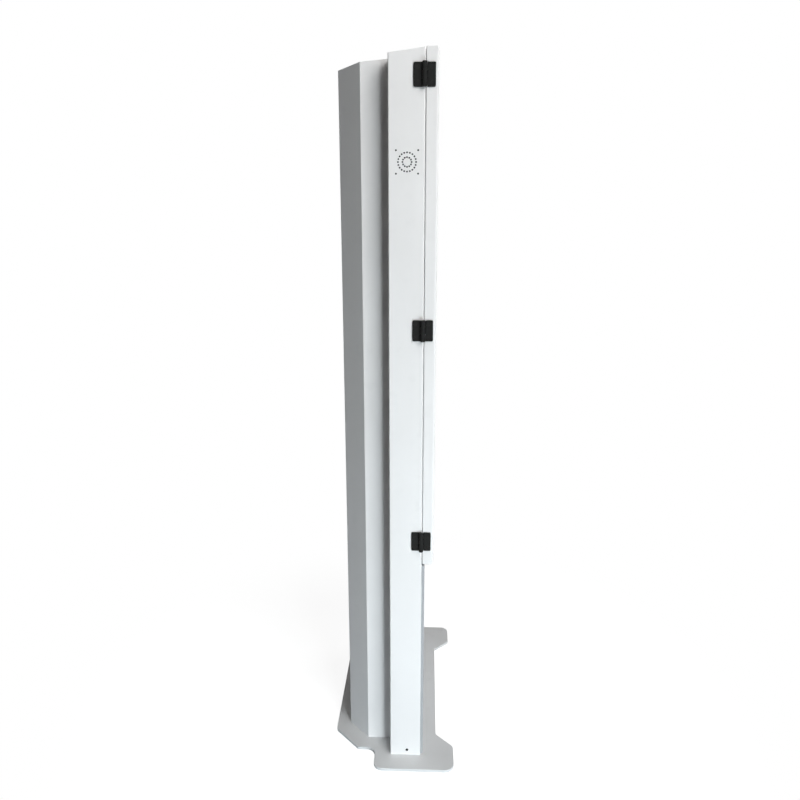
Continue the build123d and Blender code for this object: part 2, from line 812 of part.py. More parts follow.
def player_case():
    """Finned case with a button hole in its face and sockets in its lower end."""
    x, y, z = case_limits(player_size, player_x, player_lift)
    case = block(x, y, z)
    fin = (player_size[0] - 4) / 21
    for k in range(11):
        left = x[0] + 2 + 2 * k * fin
        case += block((left, left + fin), (y[0] - player_fin, y[0]),
                      (z[0] + 0.18 * player_size[2], z[1] - 4))
    case -= block(*case_limits(player_size, player_x, player_lift, player_wall))
    button_x, button_z = player_button_place()
    play = 0.3
    case -= rod_y(button_radius + play, button_x, (y[0] - 1, y[0] + player_wall + 1), button_z)
    middle = (y[0] + y[1]) / 2
    for across in player_sockets:
        socket = player_x + across * player_size[0]
        case -= block((socket - 7, socket + 7), (middle - 4, middle + 4),
                      (z[0] - 1, z[0] + player_wall + 1))
    seat = y[1] - player_wall
    for across, up in square(2):
        post_x = player_x + across * (player_size[0] / 2 - 12)
        post_z = (z[0] + z[1]) / 2 + up * (player_size[2] / 2 - 12)
        case += rod_y(3, post_x, (seat - player_post, seat), post_z)
    return case


def player_board():
    """Circuit board on the case's posts with a processor, memory and connectors."""
    x, _, z = case_limits(player_size, player_x, player_lift, player_wall + 2)
    seat = tray_front - player_wall - player_post
    face = seat - board_thickness
    board = block(x, (face, seat), z)
    centre_x, centre_z = (x[0] + x[1]) / 2, (z[0] + z[1]) / 2
    left, top = centre_x - processor_side / 2, centre_z + processor_lift + processor_side
    board += block((left, left + processor_side), (face - 4, face), (top - processor_side, top))
    width, depth, height = memory_size
    end = left - memory_gap
    board += block((end - width, end), (face - depth, face), (top - height, top))
    for across in player_sockets:
        socket = player_x + across * player_size[0]
        board += block((socket - 6.5, socket + 6.5), (face - 8, face), (z[0], z[0] + 14))
    return board


def player_button():
    """Round push button with a collar behind the case's face."""
    x, z = player_button_place()
    face = tray_front - player_size[1]
    collar = face + player_wall + 0.3
    button = rod_y(button_radius, x, (face - button_proud, collar + 4), z)
    button = chamfer(button.edges().filter_by(GeomType.CIRCLE).sort_by(Axis.Y)[0], 0.6)
    return button + rod_y(button_radius + 1.5, x, (collar, collar + 1), z)


def supply_case():
    """Slotted sheet case with an open lower end for its terminals."""
    x, y, z = case_limits(supply_size, supply_x, supply_lift)
    case = block(x, y, z)
    inner = case_limits(supply_size, supply_x, supply_lift, cover_thickness)
    case -= block(inner[0], inner[1], (z[0] - 1, inner[2][1]))
    face = (y[0] - through, y[0] + cover_thickness + through)
    half = supply_slot_height / 2
    for up in spread(z[0] + supply_slot_low, z[1] - supply_slot_inset, supply_slots):
        case -= block((x[0] + supply_slot_inset, x[1] - supply_slot_inset), face, (up - half, up + half))
    return case


def supply_board():
    """Circuit board with a transformer, two capacitors and a terminal strip at its lower end."""
    x, _, z = case_limits(supply_size, supply_x, supply_lift, cover_thickness + 1.5)
    back = tray_front - cover_thickness
    face = back - 4
    board = block(x, (face, face + board_thickness), z)
    board += block((x[0] + 8, x[1] - 8), (face + board_thickness, back), (z[0] + 8, z[1] - 8))
    centre = (x[0] + x[1]) / 2
    width, depth, height = transformer_size
    low = z[0] + transformer_lift
    board += block((centre - width / 2, centre + width / 2), (face - depth, face), (low, low + height))
    for side in (-1, 1):
        across = side * (capacitor_radius + width / 2 - 5)
        board += rod_y(capacitor_radius, centre + across, (face - capacitor_length, face),
                       z[0] + capacitor_lift)
    return board + block((x[0] + 12, x[1] - 12), (face - 14, face), (z[0] + 4, z[0] + 22))


def terminal_block():
    """Eight-way terminal strip with barriers and a screw in each way."""
    x, y, z = case_limits(terminal_size, 0, terminal_lift)
    strip = block(x, y, z)
    pitch = terminal_size[0] / terminal_ways
    for k in range(terminal_ways):
        centre = x[0] + (k + 0.5) * pitch
        strip -= block((centre - 0.38 * pitch, centre + 0.38 * pitch), (y[0] - 1, y[0] + 9),
                       (z[0] - 1, z[1] + 1))
        strip += rod_y(3.5, centre, (y[0] + 7, y[0] + 10), (z[0] + z[1]) / 2)
    return strip


# ---- Speakers -----------------------------------------------------------------------------------
def inward(depth):
    """Place on the +X side, a depth inside the side wall."""
    return wall_x - depth


def turned_x(profile):
    """Solid turned about the speaker's axis; the profile is a list of (depth inside wall, radius)."""
    face = make_face(Polyline(*[(inward(depth), radius) for depth, radius in profile], close=True))
    return Pos(0, speaker_y, speaker_z) * revolve(face, Axis.X)


def speaker_frame():
    """Square plate, basket and magnet as one frame, on the +X side."""
    half = speaker_plate / 2
    mouth = speaker_mouth / 2
    plate = block((inward(sheet), inward(0)), (speaker_y - half, speaker_y + half),
                  (speaker_z - half, speaker_z + half))
    cut = (inward(sheet + through), inward(-through))
    plate -= rod_x(mouth, cut, speaker_y, speaker_z)
    floor, neck = basket_depth, magnet_radius + 1
    basket = turned_x([(sheet - 0.5, mouth), (sheet - 0.5, mouth + 2.5), (floor, neck), (floor, 0),
                       (floor - basket_wall, 0), (floor - basket_wall, neck - 3)])
    end = floor + magnet_depth
    magnet = turned_x([(floor, 0), (floor, magnet_radius), (end, magnet_radius), (end, 0)])
    frame = plate + basket + magnet
    return frame - [
        rod_x(speaker_stud / 2 + thread_gap, cut, speaker_y + across, speaker_z + up)
        for across, up in square(speaker_stud_pitch)
    ]


def speaker_cone():
    """Paper cone with its rolled surround and dust cap."""
    mouth = speaker_mouth / 2
    front = [(1.2, mouth - 0.3), (0.4, mouth - 1.8), (1.2, mouth - 3.4), (9, 9), (7, 6), (6.4, 0)]
    rear = [(7.4, 0), (8, 6), (10, 9.4), (2, mouth - 3.2), (1.2, mouth - 1.8), (1.8, mouth - 0.3)]
    return turned_x(front + rear)


def speaker_studs():
    """Threaded studs flush with the side wall, each with its nut behind the speaker's plate."""
    studs = []
    for across, up in square(speaker_stud_pitch):
        y, z = speaker_y + across, speaker_z + up
        stud = rod_x(speaker_stud / 2, (inward(sheet + 5), side_x), y, z)
        nut = extrude(RegularPolygon(head_share * speaker_stud, 6), nut_share * speaker_stud)
        nut = Pos(inward(sheet), y, z) * Rot(0, -90, 0) * nut
        studs += both_sides(stud + nut)
    return studs


# ---- Hinges -------------------------------------------------------------------------------------
def hinge_bands(height):
    """Heights of the lower, middle and upper third of a hinge's barrel."""
    low = height - hinge_height / 2
    third = (hinge_height - 2 * hinge_split_gap) / 3
    step = third + hinge_split_gap
    return [(low + k * step, low + k * step + third) for k in range(3)]


def hinge_leaf_part(height, direction, bands):
    """One leaf with its share of the barrel: direction +1 lies on the housing, -1 on the door."""
    low = height - hinge_height / 2
    clear = hinge_barrel / 2 + hinge_barrel_gap
    span = sorted((pin_y + direction * clear, pin_y + direction * hinge_half_width))
    leaf = block((-side_x - hinge_leaf, -side_x), span, (low, low + hinge_height))
    outer = leaf.edges().filter_by(Axis.X).group_by(Axis.Y)[-1 if direction > 0 else 0]
    leaf = fillet(outer, 3)
    leaf = chamfer(leaf.faces().sort_by(Axis.X)[0].edges(), 0.5)
    for band in bands:
        web = sorted((pin_y + direction * 0.6, pin_y + direction * (clear + 1)))
        leaf += block((-side_x - hinge_leaf + hinge_web_sink, -side_x - 0.4), web, band)
        leaf += rod_z(hinge_barrel / 2, pin_x, pin_y, band)
    leaf -= rod_z(hinge_pin / 2 + thread_gap, pin_x, pin_y, (low - 1, low + hinge_height + 1))
    for up in (-hinge_screw_pitch / 2, hinge_screw_pitch / 2):
        leaf -= hinge_screw(pin_y + direction * hinge_screw_offset, height + up, hole_gap)
    return leaf


def hinge_screw(y, z, play):
    """Countersunk screw through a leaf and the sheet behind it, or with some play its hole."""
    face = -side_x - hinge_leaf
    depth = head_height_share * m5
    wide, narrow = head_share * m5 + play, m5 / 2 + play
    head = Pos(face + depth / 2, y, z) * Rot(0, 90, 0) * Cone(wide, narrow, depth)
    return head + rod_x(narrow, (face + depth, -wall_x + hinge_screw_end), y, z)


def hinge_screws(direction):
    return [
        hinge_screw(pin_y + direction * hinge_screw_offset, height + up, 0)
        for height in hinge_heights.values()
        for up in (-hinge_screw_pitch / 2, hinge_screw_pitch / 2)
    ]


def hinge_pins():
    """One pin a hinge, with a button at each end of the barrel."""
    pins = []
    for height in hinge_heights.values():
        bands = hinge_bands(height)
        low, high = bands[0][0], bands[-1][1]
        pin = rod_z(hinge_pin / 2, pin_x, pin_y, (low - hinge_button, high + hinge_button))
        for end in ((low - hinge_button, low), (high, high + hinge_button)):
            pin += rod_z(0.75 * hinge_pin, pin_x, pin_y, end)
        pins.append(pin)
    return pins


# ---- Locks --------------------------------------------------------------------------------------
def lock_housings():
    """Threaded barrel with an outer flange and an inner nut, one for each lock."""
    housings = []
    for z in lock_heights.values():
        barrel = rod_x(lock_body / 2, (wall_x - lock_reach + 2, side_x), lock_y, z)
        barrel += rod_x(lock_body / 2 + lock_rim, (side_x, side_x + lock_flange), lock_y, z)
        barrel += rod_x(lock_body / 2 + lock_rim, (wall_x - lock_nut, wall_x), lock_y, z)
        housings.append(barrel - rod_x(lock_plug / 2 + thread_gap, (0, 2 * side_x), lock_y, z))
    return housings


def cam_x():
    """Limits of the cam along X, at the inner end of the plug."""
    inner = wall_x - lock_reach
    return inner - cam_thickness, inner


def lock_plug_part(z):
    """Plug with a key slot, and the stem and head that hold the cam."""
    face = side_x + lock_flange
    low, high = cam_x()
    plug = rod_x(lock_plug / 2, (high, face), lock_y, z)
    plug += rod_x(lock_plug / 4, (low - 0.5, high), lock_y, z)
    plug += rod_x(lock_plug / 2 - 1, (low - 2, low), lock_y, z)
    return plug - block((face - 8, face + 1), (lock_y - 0.8, lock_y + 0.8), (z - 3.6, z + 3.6))


def lock_cam(z):
    """Flat cam that points to the front when the door is free."""
    half = cam_width / 2
    cam = block(cam_x(), (lock_y - cam_reach + half, lock_y), (z - half, z + half))
    cam += rod_x(half, cam_x(), lock_y, z)
    cam += rod_x(half, cam_x(), lock_y - cam_reach + half, z)
    return cam - rod_x(lock_plug / 4 + thread_gap, (0, side_x), lock_y, z)


def lock_catches():
    """Angle on the door whose tab stands behind each raised cam."""
    low, high = cam_x()
    leg = low - catch_offset
    foot_end = wall_x - crossbar_end_gap
    tab = lock_y + cam_width / 2 + catch_play
    catches = []
    for z in lock_heights.values():
        foot_z = (z + cam_width / 2, z + cam_width / 2 + catch_foot)
        tab_z = (z + lock_body / 2 + 4.5, z + cam_reach + 1)
        catch = block((leg - catch_thickness, foot_end), (pan_back - catch_thickness, pan_back), foot_z)
        catch += block((leg - catch_thickness, leg), (pan_back - catch_thickness, tab + catch_thickness),
                       (tab_z[0], foot_z[1]))
        catch += block((leg - catch_thickness, high + 2), (tab, tab + catch_thickness), tab_z)
        catches.append(catch)
    return catches


# ---- Door ---------------------------------------------------------------------------------------
def door_frame():
    """Folded pan: rounded front edges, a bezel round the glass and flanges turned in at the rear."""
    outer = block((-side_x, side_x), (door_front, door_rear), (door_bottom, door_top))
    outer = fillet(outer.faces().sort_by(Axis.Y)[0].edges(), door_edge_radius)
    outer = fillet(outer.faces().sort_by(Axis.Y)[-1].edges(), bend_radius / 2)
    inner = block((-wall_x, wall_x), (glass_front, pan_back), (door_bottom + sheet, door_top - sheet))
    inner = fillet(inner.faces().sort_by(Axis.Y)[0].edges(), door_edge_radius - sheet)
    pan = outer - inner
    bezel, flange = side_x - door_bezel, side_x - door_return
    pan -= block((-bezel, bezel), (door_front - 1, glass_front + 1),
                 (door_bottom + door_bezel, door_top - door_bezel))
    pan -= block((-flange, flange), (pan_back - 1, door_rear + 1),
                 (door_bottom + door_return, door_top - door_return))
    return pan - hinge_screw_holes(-1, m5 / 2 + hole_gap, (-side_x - through, -wall_x + through))


def glass_limits():
    """Half width, bottom and top of the door glass."""
    edge = sheet + glass_edge_play
    return side_x - edge, door_bottom + edge, door_top - edge


def door_glass():
    half, low, high = glass_limits()
    pane = block((-half, half), (glass_front, glass_rear), (low, high))
    return fillet(pane.edges().filter_by(Axis.Y), 3)


def glass_rails():
    """Four strips inside the pan that press the glass against the bezel."""
    half, low, high = glass_limits()
    depth = (glass_rear, glass_rear + rail_thickness)
    inner = half - glass_edge_play
    sides = both_sides(block((inner, wall_x - seat_gap), depth, (low + door_bezel, high - door_bezel)))
    reach = side_x - door_bezel - 1
    ends = [
        block((-reach, reach), depth, (door_bottom + sheet + seat_gap, low + 10)),
        block((-reach, reach), depth, (high - 10, door_top - sheet - seat_gap)),
    ]
    return sides + ends


def display_ring(inset, depth):
    """Frame round the display's edge: the full outline less the same drawn in by an inset."""
    half = display_width / 2
    outer = block((-half, half), depth, (display_bottom, display_top))
    return outer - block((inset - half, half - inset), (depth[0] - 1, depth[1] + 1),
                         (display_bottom + inset, display_top - inset))


def display_gasket():
    return display_ring(gasket_width, (glass_rear, display_front))


def display_tray():
    """Thin steel tray with a front lip round the panel."""
    half, wall = display_width / 2, cover_thickness
    tray = block((-half, half), (display_front, display_rear), (display_bottom, display_top))
    tray -= block((wall - half, half - wall), (display_front + wall, display_rear - wall),
                  (display_bottom + wall, display_top - wall))
    window = half - gasket_width
    return tray - block((-window, window), (display_front - 1, display_front + wall),
                        (display_bottom + gasket_width, display_top - gasket_width))


def lcd_panel():
    """Panel and diffuser stack behind the tray's lip."""
    edge = cover_thickness + seat_gap
    half = display_width / 2 - edge
    front = display_front + cover_thickness
    return block((-half, half), (front, front + panel_thickness),
                 (display_bottom + edge, display_top - edge))


def display_crossbars():
    """Flat bars between the door's rear flanges that carry the display."""
    half = wall_x - crossbar_end_gap
    rise = crossbar_height / 2
    heights = (display_bottom + crossbar_inset, display_middle, display_top - crossbar_inset)
    return [block((-half, half), (display_rear, pan_back), (z - rise, z + rise)) for z in heights]


def driver_cover():
    """Slotted cover over the display's electronics, between two crossbars."""
    left = -driver_shift * driver_width
    low = display_middle + crossbar_height / 2 + driver_rise
    x, y = (left, left + driver_width), (display_rear, display_rear + driver_depth)
    z = (low, low + driver_height)
    wall = cover_thickness
    cover = block(x, y, z)
    cover = fillet(cover.faces().sort_by(Axis.Y)[-1].edges(), 2)
    cover -= block((x[0] + wall, x[1] - wall), (y[0] - 1, y[1] - wall), (z[0] + wall, z[1] - wall))
    half = driver_slot_height / 2
    for up in spread(z[0] + driver_slot_inset, z[1] - driver_slot_inset, driver_slots):
        cover -= block((x[0] + driver_slot_inset, x[1] - driver_slot_inset),
                       (y[1] - wall - through, y[1] + through), (up - half, up + half))
    return cover


def door_seal():
    """Sponge strip on the door's rear flange, just clear of the housing's front."""
    outer, inner = seal_inset, seal_inset + seal_width
    depth = (door_rear, door_rear + door_gap - seal_gap)
    band = block((outer - side_x, side_x - outer), depth, (door_bottom + outer, door_top - outer))
    return band - block((inner - side_x, side_x - inner), (depth[0] - 1, depth[1] + 1),
                        (door_bottom + inner, door_top - inner))


# ---- Assembly -----------------------------------------------------------------------------------
def foot_bolts():
    housing, column = foot_bolt_places()
    return [foot_bolt(x, y) for x, y in housing + column]


def all_parts():
    parts = {
        "base_plate": base_plate(),
        "foot_bolts": foot_bolts(),
        "housing_bracket": housing_bracket(),
        "column_bracket": column_bracket(),
        "housing_shell": housing_shell(),
        "housing_roof": housing_roof(),
        "foot_screws": foot_screws(),
        "lower_front_panel": kick_panel(),
        "lower_panel_screws": kick_screws(),
        "column_shell": column_shell(),
        "column_roof": column_roof(),
        "column_screws": column_screws(),
        "service_panel": service_panel(),
        "service_panel_screws": service_screws(),
        "power_inlet": power_inlet(),
        "power_rocker": power_rocker(),
        "fan_screws": fan_screws(),
        "cable_grommet": cable_grommet(),
        "equipment_tray": equipment_tray(),
        "equipment_tray_screws": tray_screws(),
        "media_player_case": player_case(),
        "media_player_board": player_board(),
        "media_player_button": player_button(),
        "power_supply_case": supply_case(),
        "power_supply_board": supply_board(),
        "terminal_block": terminal_block(),
        "right_speaker_frame": speaker_frame(),
        "right_speaker_cone": speaker_cone(),
        "left_speaker_frame": mirror(speaker_frame(), Plane.YZ),
        "left_speaker_cone": mirror(speaker_cone(), Plane.YZ),
        "speaker_studs": speaker_studs(),
        "hinge_pins": hinge_pins(),
        "hinge_housing_screws": hinge_screws(1),
        "hinge_door_screws": hinge_screws(-1),
        "lock_housings": lock_housings(),
        "lock_catches": lock_catches(),
        "door_frame": door_frame(),
        "door_glass": door_glass(),
        "glass_rails": glass_rails(),
        "display_gasket": display_gasket(),
        "display_tray": display_tray(),
        "lcd_panel": lcd_panel(),
        "display_crossbars": display_crossbars(),
        "display_driver_cover": driver_cover(),
        "door_seal": door_seal(),
    }
    for (x, z), side in zip(fan_centres(), ("left", "right")):
        parts[f"{side}_fan_frame"] = fan_frame(x, z)
        parts[f"{side}_fan_rotor"] = fan_rotor(x, z)
    for place, height in hinge_heights.items():
        low, middle, high = hinge_bands(height)
        parts[f"{place}_hinge_housing_leaf"] = hinge_leaf_part(height, 1, (low, high))
        parts[f"{place}_hinge_door_leaf"] = hinge_leaf_part(height, -1, (middle,))
    for place, height in lock_heights.items():
        parts[f"{place}_lock_plug"] = lock_plug_part(height)
        parts[f"{place}_lock_cam"] = lock_cam(height)
    return parts


os.makedirs("parts", exist_ok=True)
for name, part in all_parts().items():
    shape = Compound(children=part) if isinstance(part, list) else part
    export_step(shape, f"parts/{name}.step")
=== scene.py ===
"""Finishes and fine pieces of a floor-standing display kiosk.

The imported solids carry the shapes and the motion.  This file gives each of them a finish, forms
the turned, threaded and soft pieces anew as surfaces worked out with numpy, and sets the floor,
the lamps and the camera.  Lengths are in metres, +Z is up, the screen faces -Y and the hinges of
the door are on -X.
"""

import json
import logging
import math
from abc import ABC, abstractmethod
from dataclasses import dataclass
from enum import Enum
from typing import ClassVar, Dict, List, Mapping, Optional, Sequence, Tuple, Union

import bmesh
import bpy
import numpy as np
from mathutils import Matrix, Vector

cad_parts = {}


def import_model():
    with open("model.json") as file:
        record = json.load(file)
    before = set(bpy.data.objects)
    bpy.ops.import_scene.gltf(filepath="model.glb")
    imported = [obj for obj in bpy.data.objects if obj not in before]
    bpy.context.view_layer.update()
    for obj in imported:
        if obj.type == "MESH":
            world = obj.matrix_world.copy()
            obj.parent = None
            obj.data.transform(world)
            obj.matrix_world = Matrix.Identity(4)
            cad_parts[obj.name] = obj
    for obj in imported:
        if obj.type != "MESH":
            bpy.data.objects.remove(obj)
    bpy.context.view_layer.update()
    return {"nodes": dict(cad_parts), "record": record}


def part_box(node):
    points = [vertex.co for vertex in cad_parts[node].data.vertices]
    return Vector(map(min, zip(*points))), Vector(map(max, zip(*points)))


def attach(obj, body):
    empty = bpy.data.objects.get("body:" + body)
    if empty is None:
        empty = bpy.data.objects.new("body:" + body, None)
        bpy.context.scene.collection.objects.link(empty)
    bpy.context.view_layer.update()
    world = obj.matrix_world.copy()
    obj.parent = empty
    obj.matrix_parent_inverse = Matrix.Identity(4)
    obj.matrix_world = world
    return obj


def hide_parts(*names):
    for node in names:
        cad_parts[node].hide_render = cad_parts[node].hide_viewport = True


LOG = logging.getLogger("kiosk")

Colour = Tuple[float, float, float]
Point = Tuple[float, float, float]

WHITE: Colour = (1.0, 1.0, 1.0)


# ---- Shader maths -------------------------------------------------------------------------------
class Amount:
    """A number that varies over a surface; arithmetic on it adds Math nodes."""

    def __init__(self, tree: "Tree", socket: bpy.types.NodeSocket) -> None:
        """Wraps one value socket.

        Args:
            tree: Tree that the socket belongs to.
            socket: Output that gives the number.
        """
        self.tree = tree
        self.socket = socket

    def _math(self, operation: str, *terms: Union["Amount", float]) -> "Amount":
        """Returns one Math node's result on the given terms."""
        made = self.tree.node("ShaderNodeMath", {"operation": operation}, dict(enumerate(terms)))
        return Amount(self.tree, made.outputs[0])

    def __add__(self, other: Union["Amount", float]) -> "Amount":
        """Returns the sum."""
        return self._math("ADD", self, other)

    def __sub__(self, other: Union["Amount", float]) -> "Amount":
        """Returns the difference."""
        return self._math("SUBTRACT", self, other)

    def __rsub__(self, other: float) -> "Amount":
        """Returns a number less this amount."""
        return self._math("SUBTRACT", other, self)

    def __mul__(self, other: Union["Amount", float]) -> "Amount":
        """Returns the product."""
        return self._math("MULTIPLY", self, other)

    def __abs__(self) -> "Amount":
        """Returns the size without its sign."""
        return self._math("ABSOLUTE", self)

    def at_least(self, other: "Amount") -> "Amount":
        """Returns the larger of two amounts."""
        return self._math("MAXIMUM", self, other)

    __radd__ = __add__
    __rmul__ = __mul__

    def repeated(self, pitch: float) -> "Amount":
        """Returns 0 to 1 and back over each pitch."""
        return self._math("PINGPONG", self * (2.0 / pitch), 1.0)

    def rising(self, low: float, high: float) -> "Amount":
        """Steps smoothly from 0 to 1 between two limits, which may be given in falling order.

        Args:
            low: Limit on whose far side the result is 0.
            high: Limit on whose far side it is 1.

        Returns:
            The step.
        """
        settings = {"interpolation_type": "SMOOTHSTEP"}
        made = self.tree.node("ShaderNodeMapRange", settings, {0: self, 1: low, 2: high})
        return Amount(self.tree, made.outputs[0])


class Tree:
    """The node tree of one finish or of the surroundings."""

    def __init__(self, graph: bpy.types.NodeTree) -> None:
        """Empties a node tree and starts from there.

        Args:
            graph: Node tree of a material or a world.
        """
        self._graph = graph
        self._graph.nodes.clear()
        self._place: Optional[bpy.types.NodeSocket] = None

    def node(
        self,
        kind: str,
        settings: Optional[Mapping[str, object]] = None,
        inputs: Optional[Mapping[Union[str, int], object]] = None,
    ) -> bpy.types.Node:
        """Adds one node.

        Args:
            kind: Type of the node.
            settings: Properties of the node, set first; "stops" are a ramp's places and colours.
            inputs: What feeds each socket: an amount, a socket or a plain value.

        Returns:
            The node.
        """
        made = self._graph.nodes.new(kind)
        for key, value in (settings or {}).items():
            if key == "stops":
                self._set_stops(made.color_ramp, value)
            else:
                setattr(made, key, value)
        for key, value in (inputs or {}).items():
            source = value.socket if isinstance(value, Amount) else value
            if isinstance(source, bpy.types.NodeSocket):
                self._graph.links.new(source, made.inputs[key])
            else:
                made.inputs[key].default_value = source
        return made

    @staticmethod
    def _set_stops(ramp: bpy.types.ColorRamp, stops: Sequence[Tuple[float, Colour]]) -> None:
        """Gives a ramp its stops.

        Args:
            ramp: Ramp to fill.
            stops: Place and colour of each stop.
        """
        while len(ramp.elements) < len(stops):
            ramp.elements.new(0.5)
        for element, (place, colour) in zip(ramp.elements, stops):
            element.position = place
            element.color = (*colour, 1.0)

    @property
    def place(self) -> bpy.types.NodeSocket:
        """Gives the object coordinates.

        Returns:
            Their socket, in metres.
        """
        if self._place is None:
            self._place = self.node("ShaderNodeTexCoord").outputs["Object"]
        return self._place

    def axes(self) -> Tuple[Amount, Amount, Amount]:
        """Returns the three coordinates as amounts."""
        made = self.node("ShaderNodeSeparateXYZ", inputs={0: self.place})
        return tuple(Amount(self, output) for output in made.outputs)

    def noise(self, scale: float, detail: float = 2.0, stretch: Point = (1.0, 1.0, 1.0)) -> Amount:
        """Returns a soft noise.

        Args:
            scale: Cells to a metre.
            detail: Octaves of finer noise on top.
            stretch: Factor on each coordinate; a small one draws the cells out along it.

        Returns:
            The noise.
        """
        where = self.place
        if stretch != (1.0, 1.0, 1.0):
            where = self.node("ShaderNodeMapping", inputs={0: where, "Scale": stretch}).outputs[0]
        inputs = {"Vector": where, "Scale": scale, "Detail": detail}
        return Amount(self, self.node("ShaderNodeTexNoise", inputs=inputs).outputs[0])

    def cells(self, scale: float) -> Amount:
        """Gives each irregular cell one random number.

        Args:
            scale: Cells to a metre.

        Returns:
            The number, from 0 to 1.
        """
        made = self.node("ShaderNodeTexVoronoi", inputs={"Vector": self.place, "Scale": scale})
        split = self.node("ShaderNodeSeparateColor", inputs={0: made.outputs["Color"]})
        return Amount(self, split.outputs[0])

    def measure(self, operation: str, *vectors: bpy.types.NodeSocket) -> Amount:
        """Returns the number that a Vector Math node gives for some vectors."""
        made = self.node("ShaderNodeVectorMath", {"operation": operation}, dict(enumerate(vectors)))
        return Amount(self, made.outputs["Value"])

    def tint(self, factor: Amount, low: Colour, high: Colour) -> bpy.types.NodeSocket:
        """Returns a colour between two plain ones, by an amount from 0 to 1."""
        return self.blend(factor, (*low, 1.0), (*high, 1.0))

    def blend(self, factor: Amount, low: object, high: object) -> bpy.types.NodeSocket:
        """Returns a colour between two colours or sockets, by an amount from 0 to 1."""
        made = self.node("ShaderNodeMix", {"data_type": "RGBA"}, {0: factor, 6: low, 7: high})
        return made.outputs[2]

    def mixed(
        self, factor: Amount, low: bpy.types.NodeSocket, high: bpy.types.NodeSocket
    ) -> bpy.types.NodeSocket:
        """Returns a shader between two others, by an amount from 0 to 1."""
        return self.node("ShaderNodeMixShader", inputs={0: factor, 1: low, 2: high}).outputs[0]

    def relief(self, height: Amount, depth: float) -> bpy.types.NodeSocket:
        """Returns a normal bent by a height from 0 to 1, where 1 stands for a depth in metres."""
        inputs = {"Height": height, "Distance": depth, "Strength": 1.0}
        return self.node("ShaderNodeBump", inputs=inputs).outputs[0]

    def seen(self) -> Amount:
        """Finds the rays that show the background: those seen, and those in gloss and glass.

        Returns:
            1 on such a ray and 0 on any other.
        """
        path = self.node("ShaderNodeLightPath").outputs
        camera, glossy, through = (
            Amount(self, path[f"Is {kind} Ray"]) for kind in ("Camera", "Glossy", "Transmission")
        )
        return camera.at_least(glossy).at_least(through)

    def surface(self, **sockets: object) -> None:
        """Ends the tree in one principled surface.

        Args:
            sockets: What feeds each socket, by its name with _ for each space.
        """
        named = {key.replace("_", " "): value for key, value in sockets.items()}
        shader = self.node("ShaderNodeBsdfPrincipled", inputs=named)
        self.node("ShaderNodeOutputMaterial", inputs={"Surface": shader.outputs[0]})


# ---- Finishes -----------------------------------------------------------------------------------
@dataclass(frozen=True)
class Finish(ABC):
    """What a surface is made of and how it was treated.

    Fields named cells count a noise's cells to a metre, and depths are in metres.
    """

    name: str
    _made: ClassVar[Dict["Finish", bpy.types.Material]] = {}

    @abstractmethod
    def build(self, tree: Tree) -> None:
        """Adds the finish's nodes to an empty tree."""

    def material(self) -> bpy.types.Material:
        """Makes the finish's material the first time, and keeps it.

        Returns:
            The material.
        """
        if self not in Finish._made:
            made = bpy.data.materials.new(self.name)
            made.use_nodes = True
            self.build(Tree(made.node_tree))
            Finish._made[self] = made
        return Finish._made[self]

    def dress(self, piece: bpy.types.Object) -> None:
        """Gives every material slot of a piece this finish.

        Args:
            piece: Solid or piece to dress.
        """
        if not piece.material_slots:
            piece.data.materials.append(self.material())
        for place in piece.material_slots:
            place.material = self.material()


def shade(colour: Colour, share: float) -> Colour:
    """Returns a colour made darker or lighter by a share of itself."""
    return tuple(part * share for part in colour)


@dataclass(frozen=True)
class PowderCoat(Finish):
    """Baked powder on sheet metal, with its orange peel and faint handling marks."""

    colour: Colour = (0.880, 0.866, 0.852)
    roughness: float = 0.46
    sheen: float = 0.16
    peel_cells: float = 900.0
    peel_depth: float = 0.00004
    marks: float = 0.03
    drift_cells: float = 4.0
    rub_cells: float = 26.0

    def build(self, tree: Tree) -> None:
        """Adds drifting lightness, rubbed patches and a fine peel.

        Args:
            tree: Empty tree of the material.
        """
        drift = tree.noise(self.drift_cells, detail=3.0).rising(0.3, 0.7)
        rubbed = tree.noise(self.rub_cells, detail=6.0).rising(0.55, 0.78)
        peel = tree.noise(self.peel_cells, detail=1.0)
        coat = tree.tint(drift, shade(self.colour, 1.0 - self.marks), self.colour)
        darkest = (*shade(self.colour, 1.0 - 2.0 * self.marks), 1.0)
        tree.surface(
            Base_Color=tree.blend(rubbed * 0.5, coat, darkest),
            Roughness=self.roughness + drift * 0.05 + rubbed * 0.10,
            Specular_IOR_Level=self.sheen,
            Normal=tree.relief(peel, self.peel_depth),
        )


@dataclass(frozen=True)
class RubbedCoat(Finish):
    """Dark coat on a casting, grained all over and rubbed paler along its edges."""

    colour: Colour = (0.020, 0.020, 0.0195)
    bare: Colour = (0.052, 0.052, 0.051)
    roughness: float = 0.50
    sheen: float = 0.05
    edge: float = 0.0005
    wear_cells: float = 420.0
    grain_cells: float = 2600.0
    grain_depth: float = 0.00005

    def build(self, tree: Tree) -> None:
        """Finds the edges from how far a rounded normal leans off the plain one.

        Args:
            tree: Empty tree of the material.
        """
        rounded = tree.node("ShaderNodeBevel", {"samples": 6}, {"Radius": self.edge}).outputs[0]
        plain = tree.node("ShaderNodeNewGeometry").outputs["Normal"]
        edge = 1.0 - tree.measure("DOT_PRODUCT", rounded, plain)
        patchy = tree.noise(self.wear_cells, detail=4.0)
        worn = edge.rising(0.03, 0.25) * patchy.rising(0.35, 0.65)
        tree.surface(
            Base_Color=tree.tint(worn, self.colour, self.bare),
            Roughness=self.roughness + patchy * 0.14 - worn * 0.12,
            Specular_IOR_Level=self.sheen,
            Normal=tree.relief(tree.noise(self.grain_cells, detail=1.0), self.grain_depth),
        )


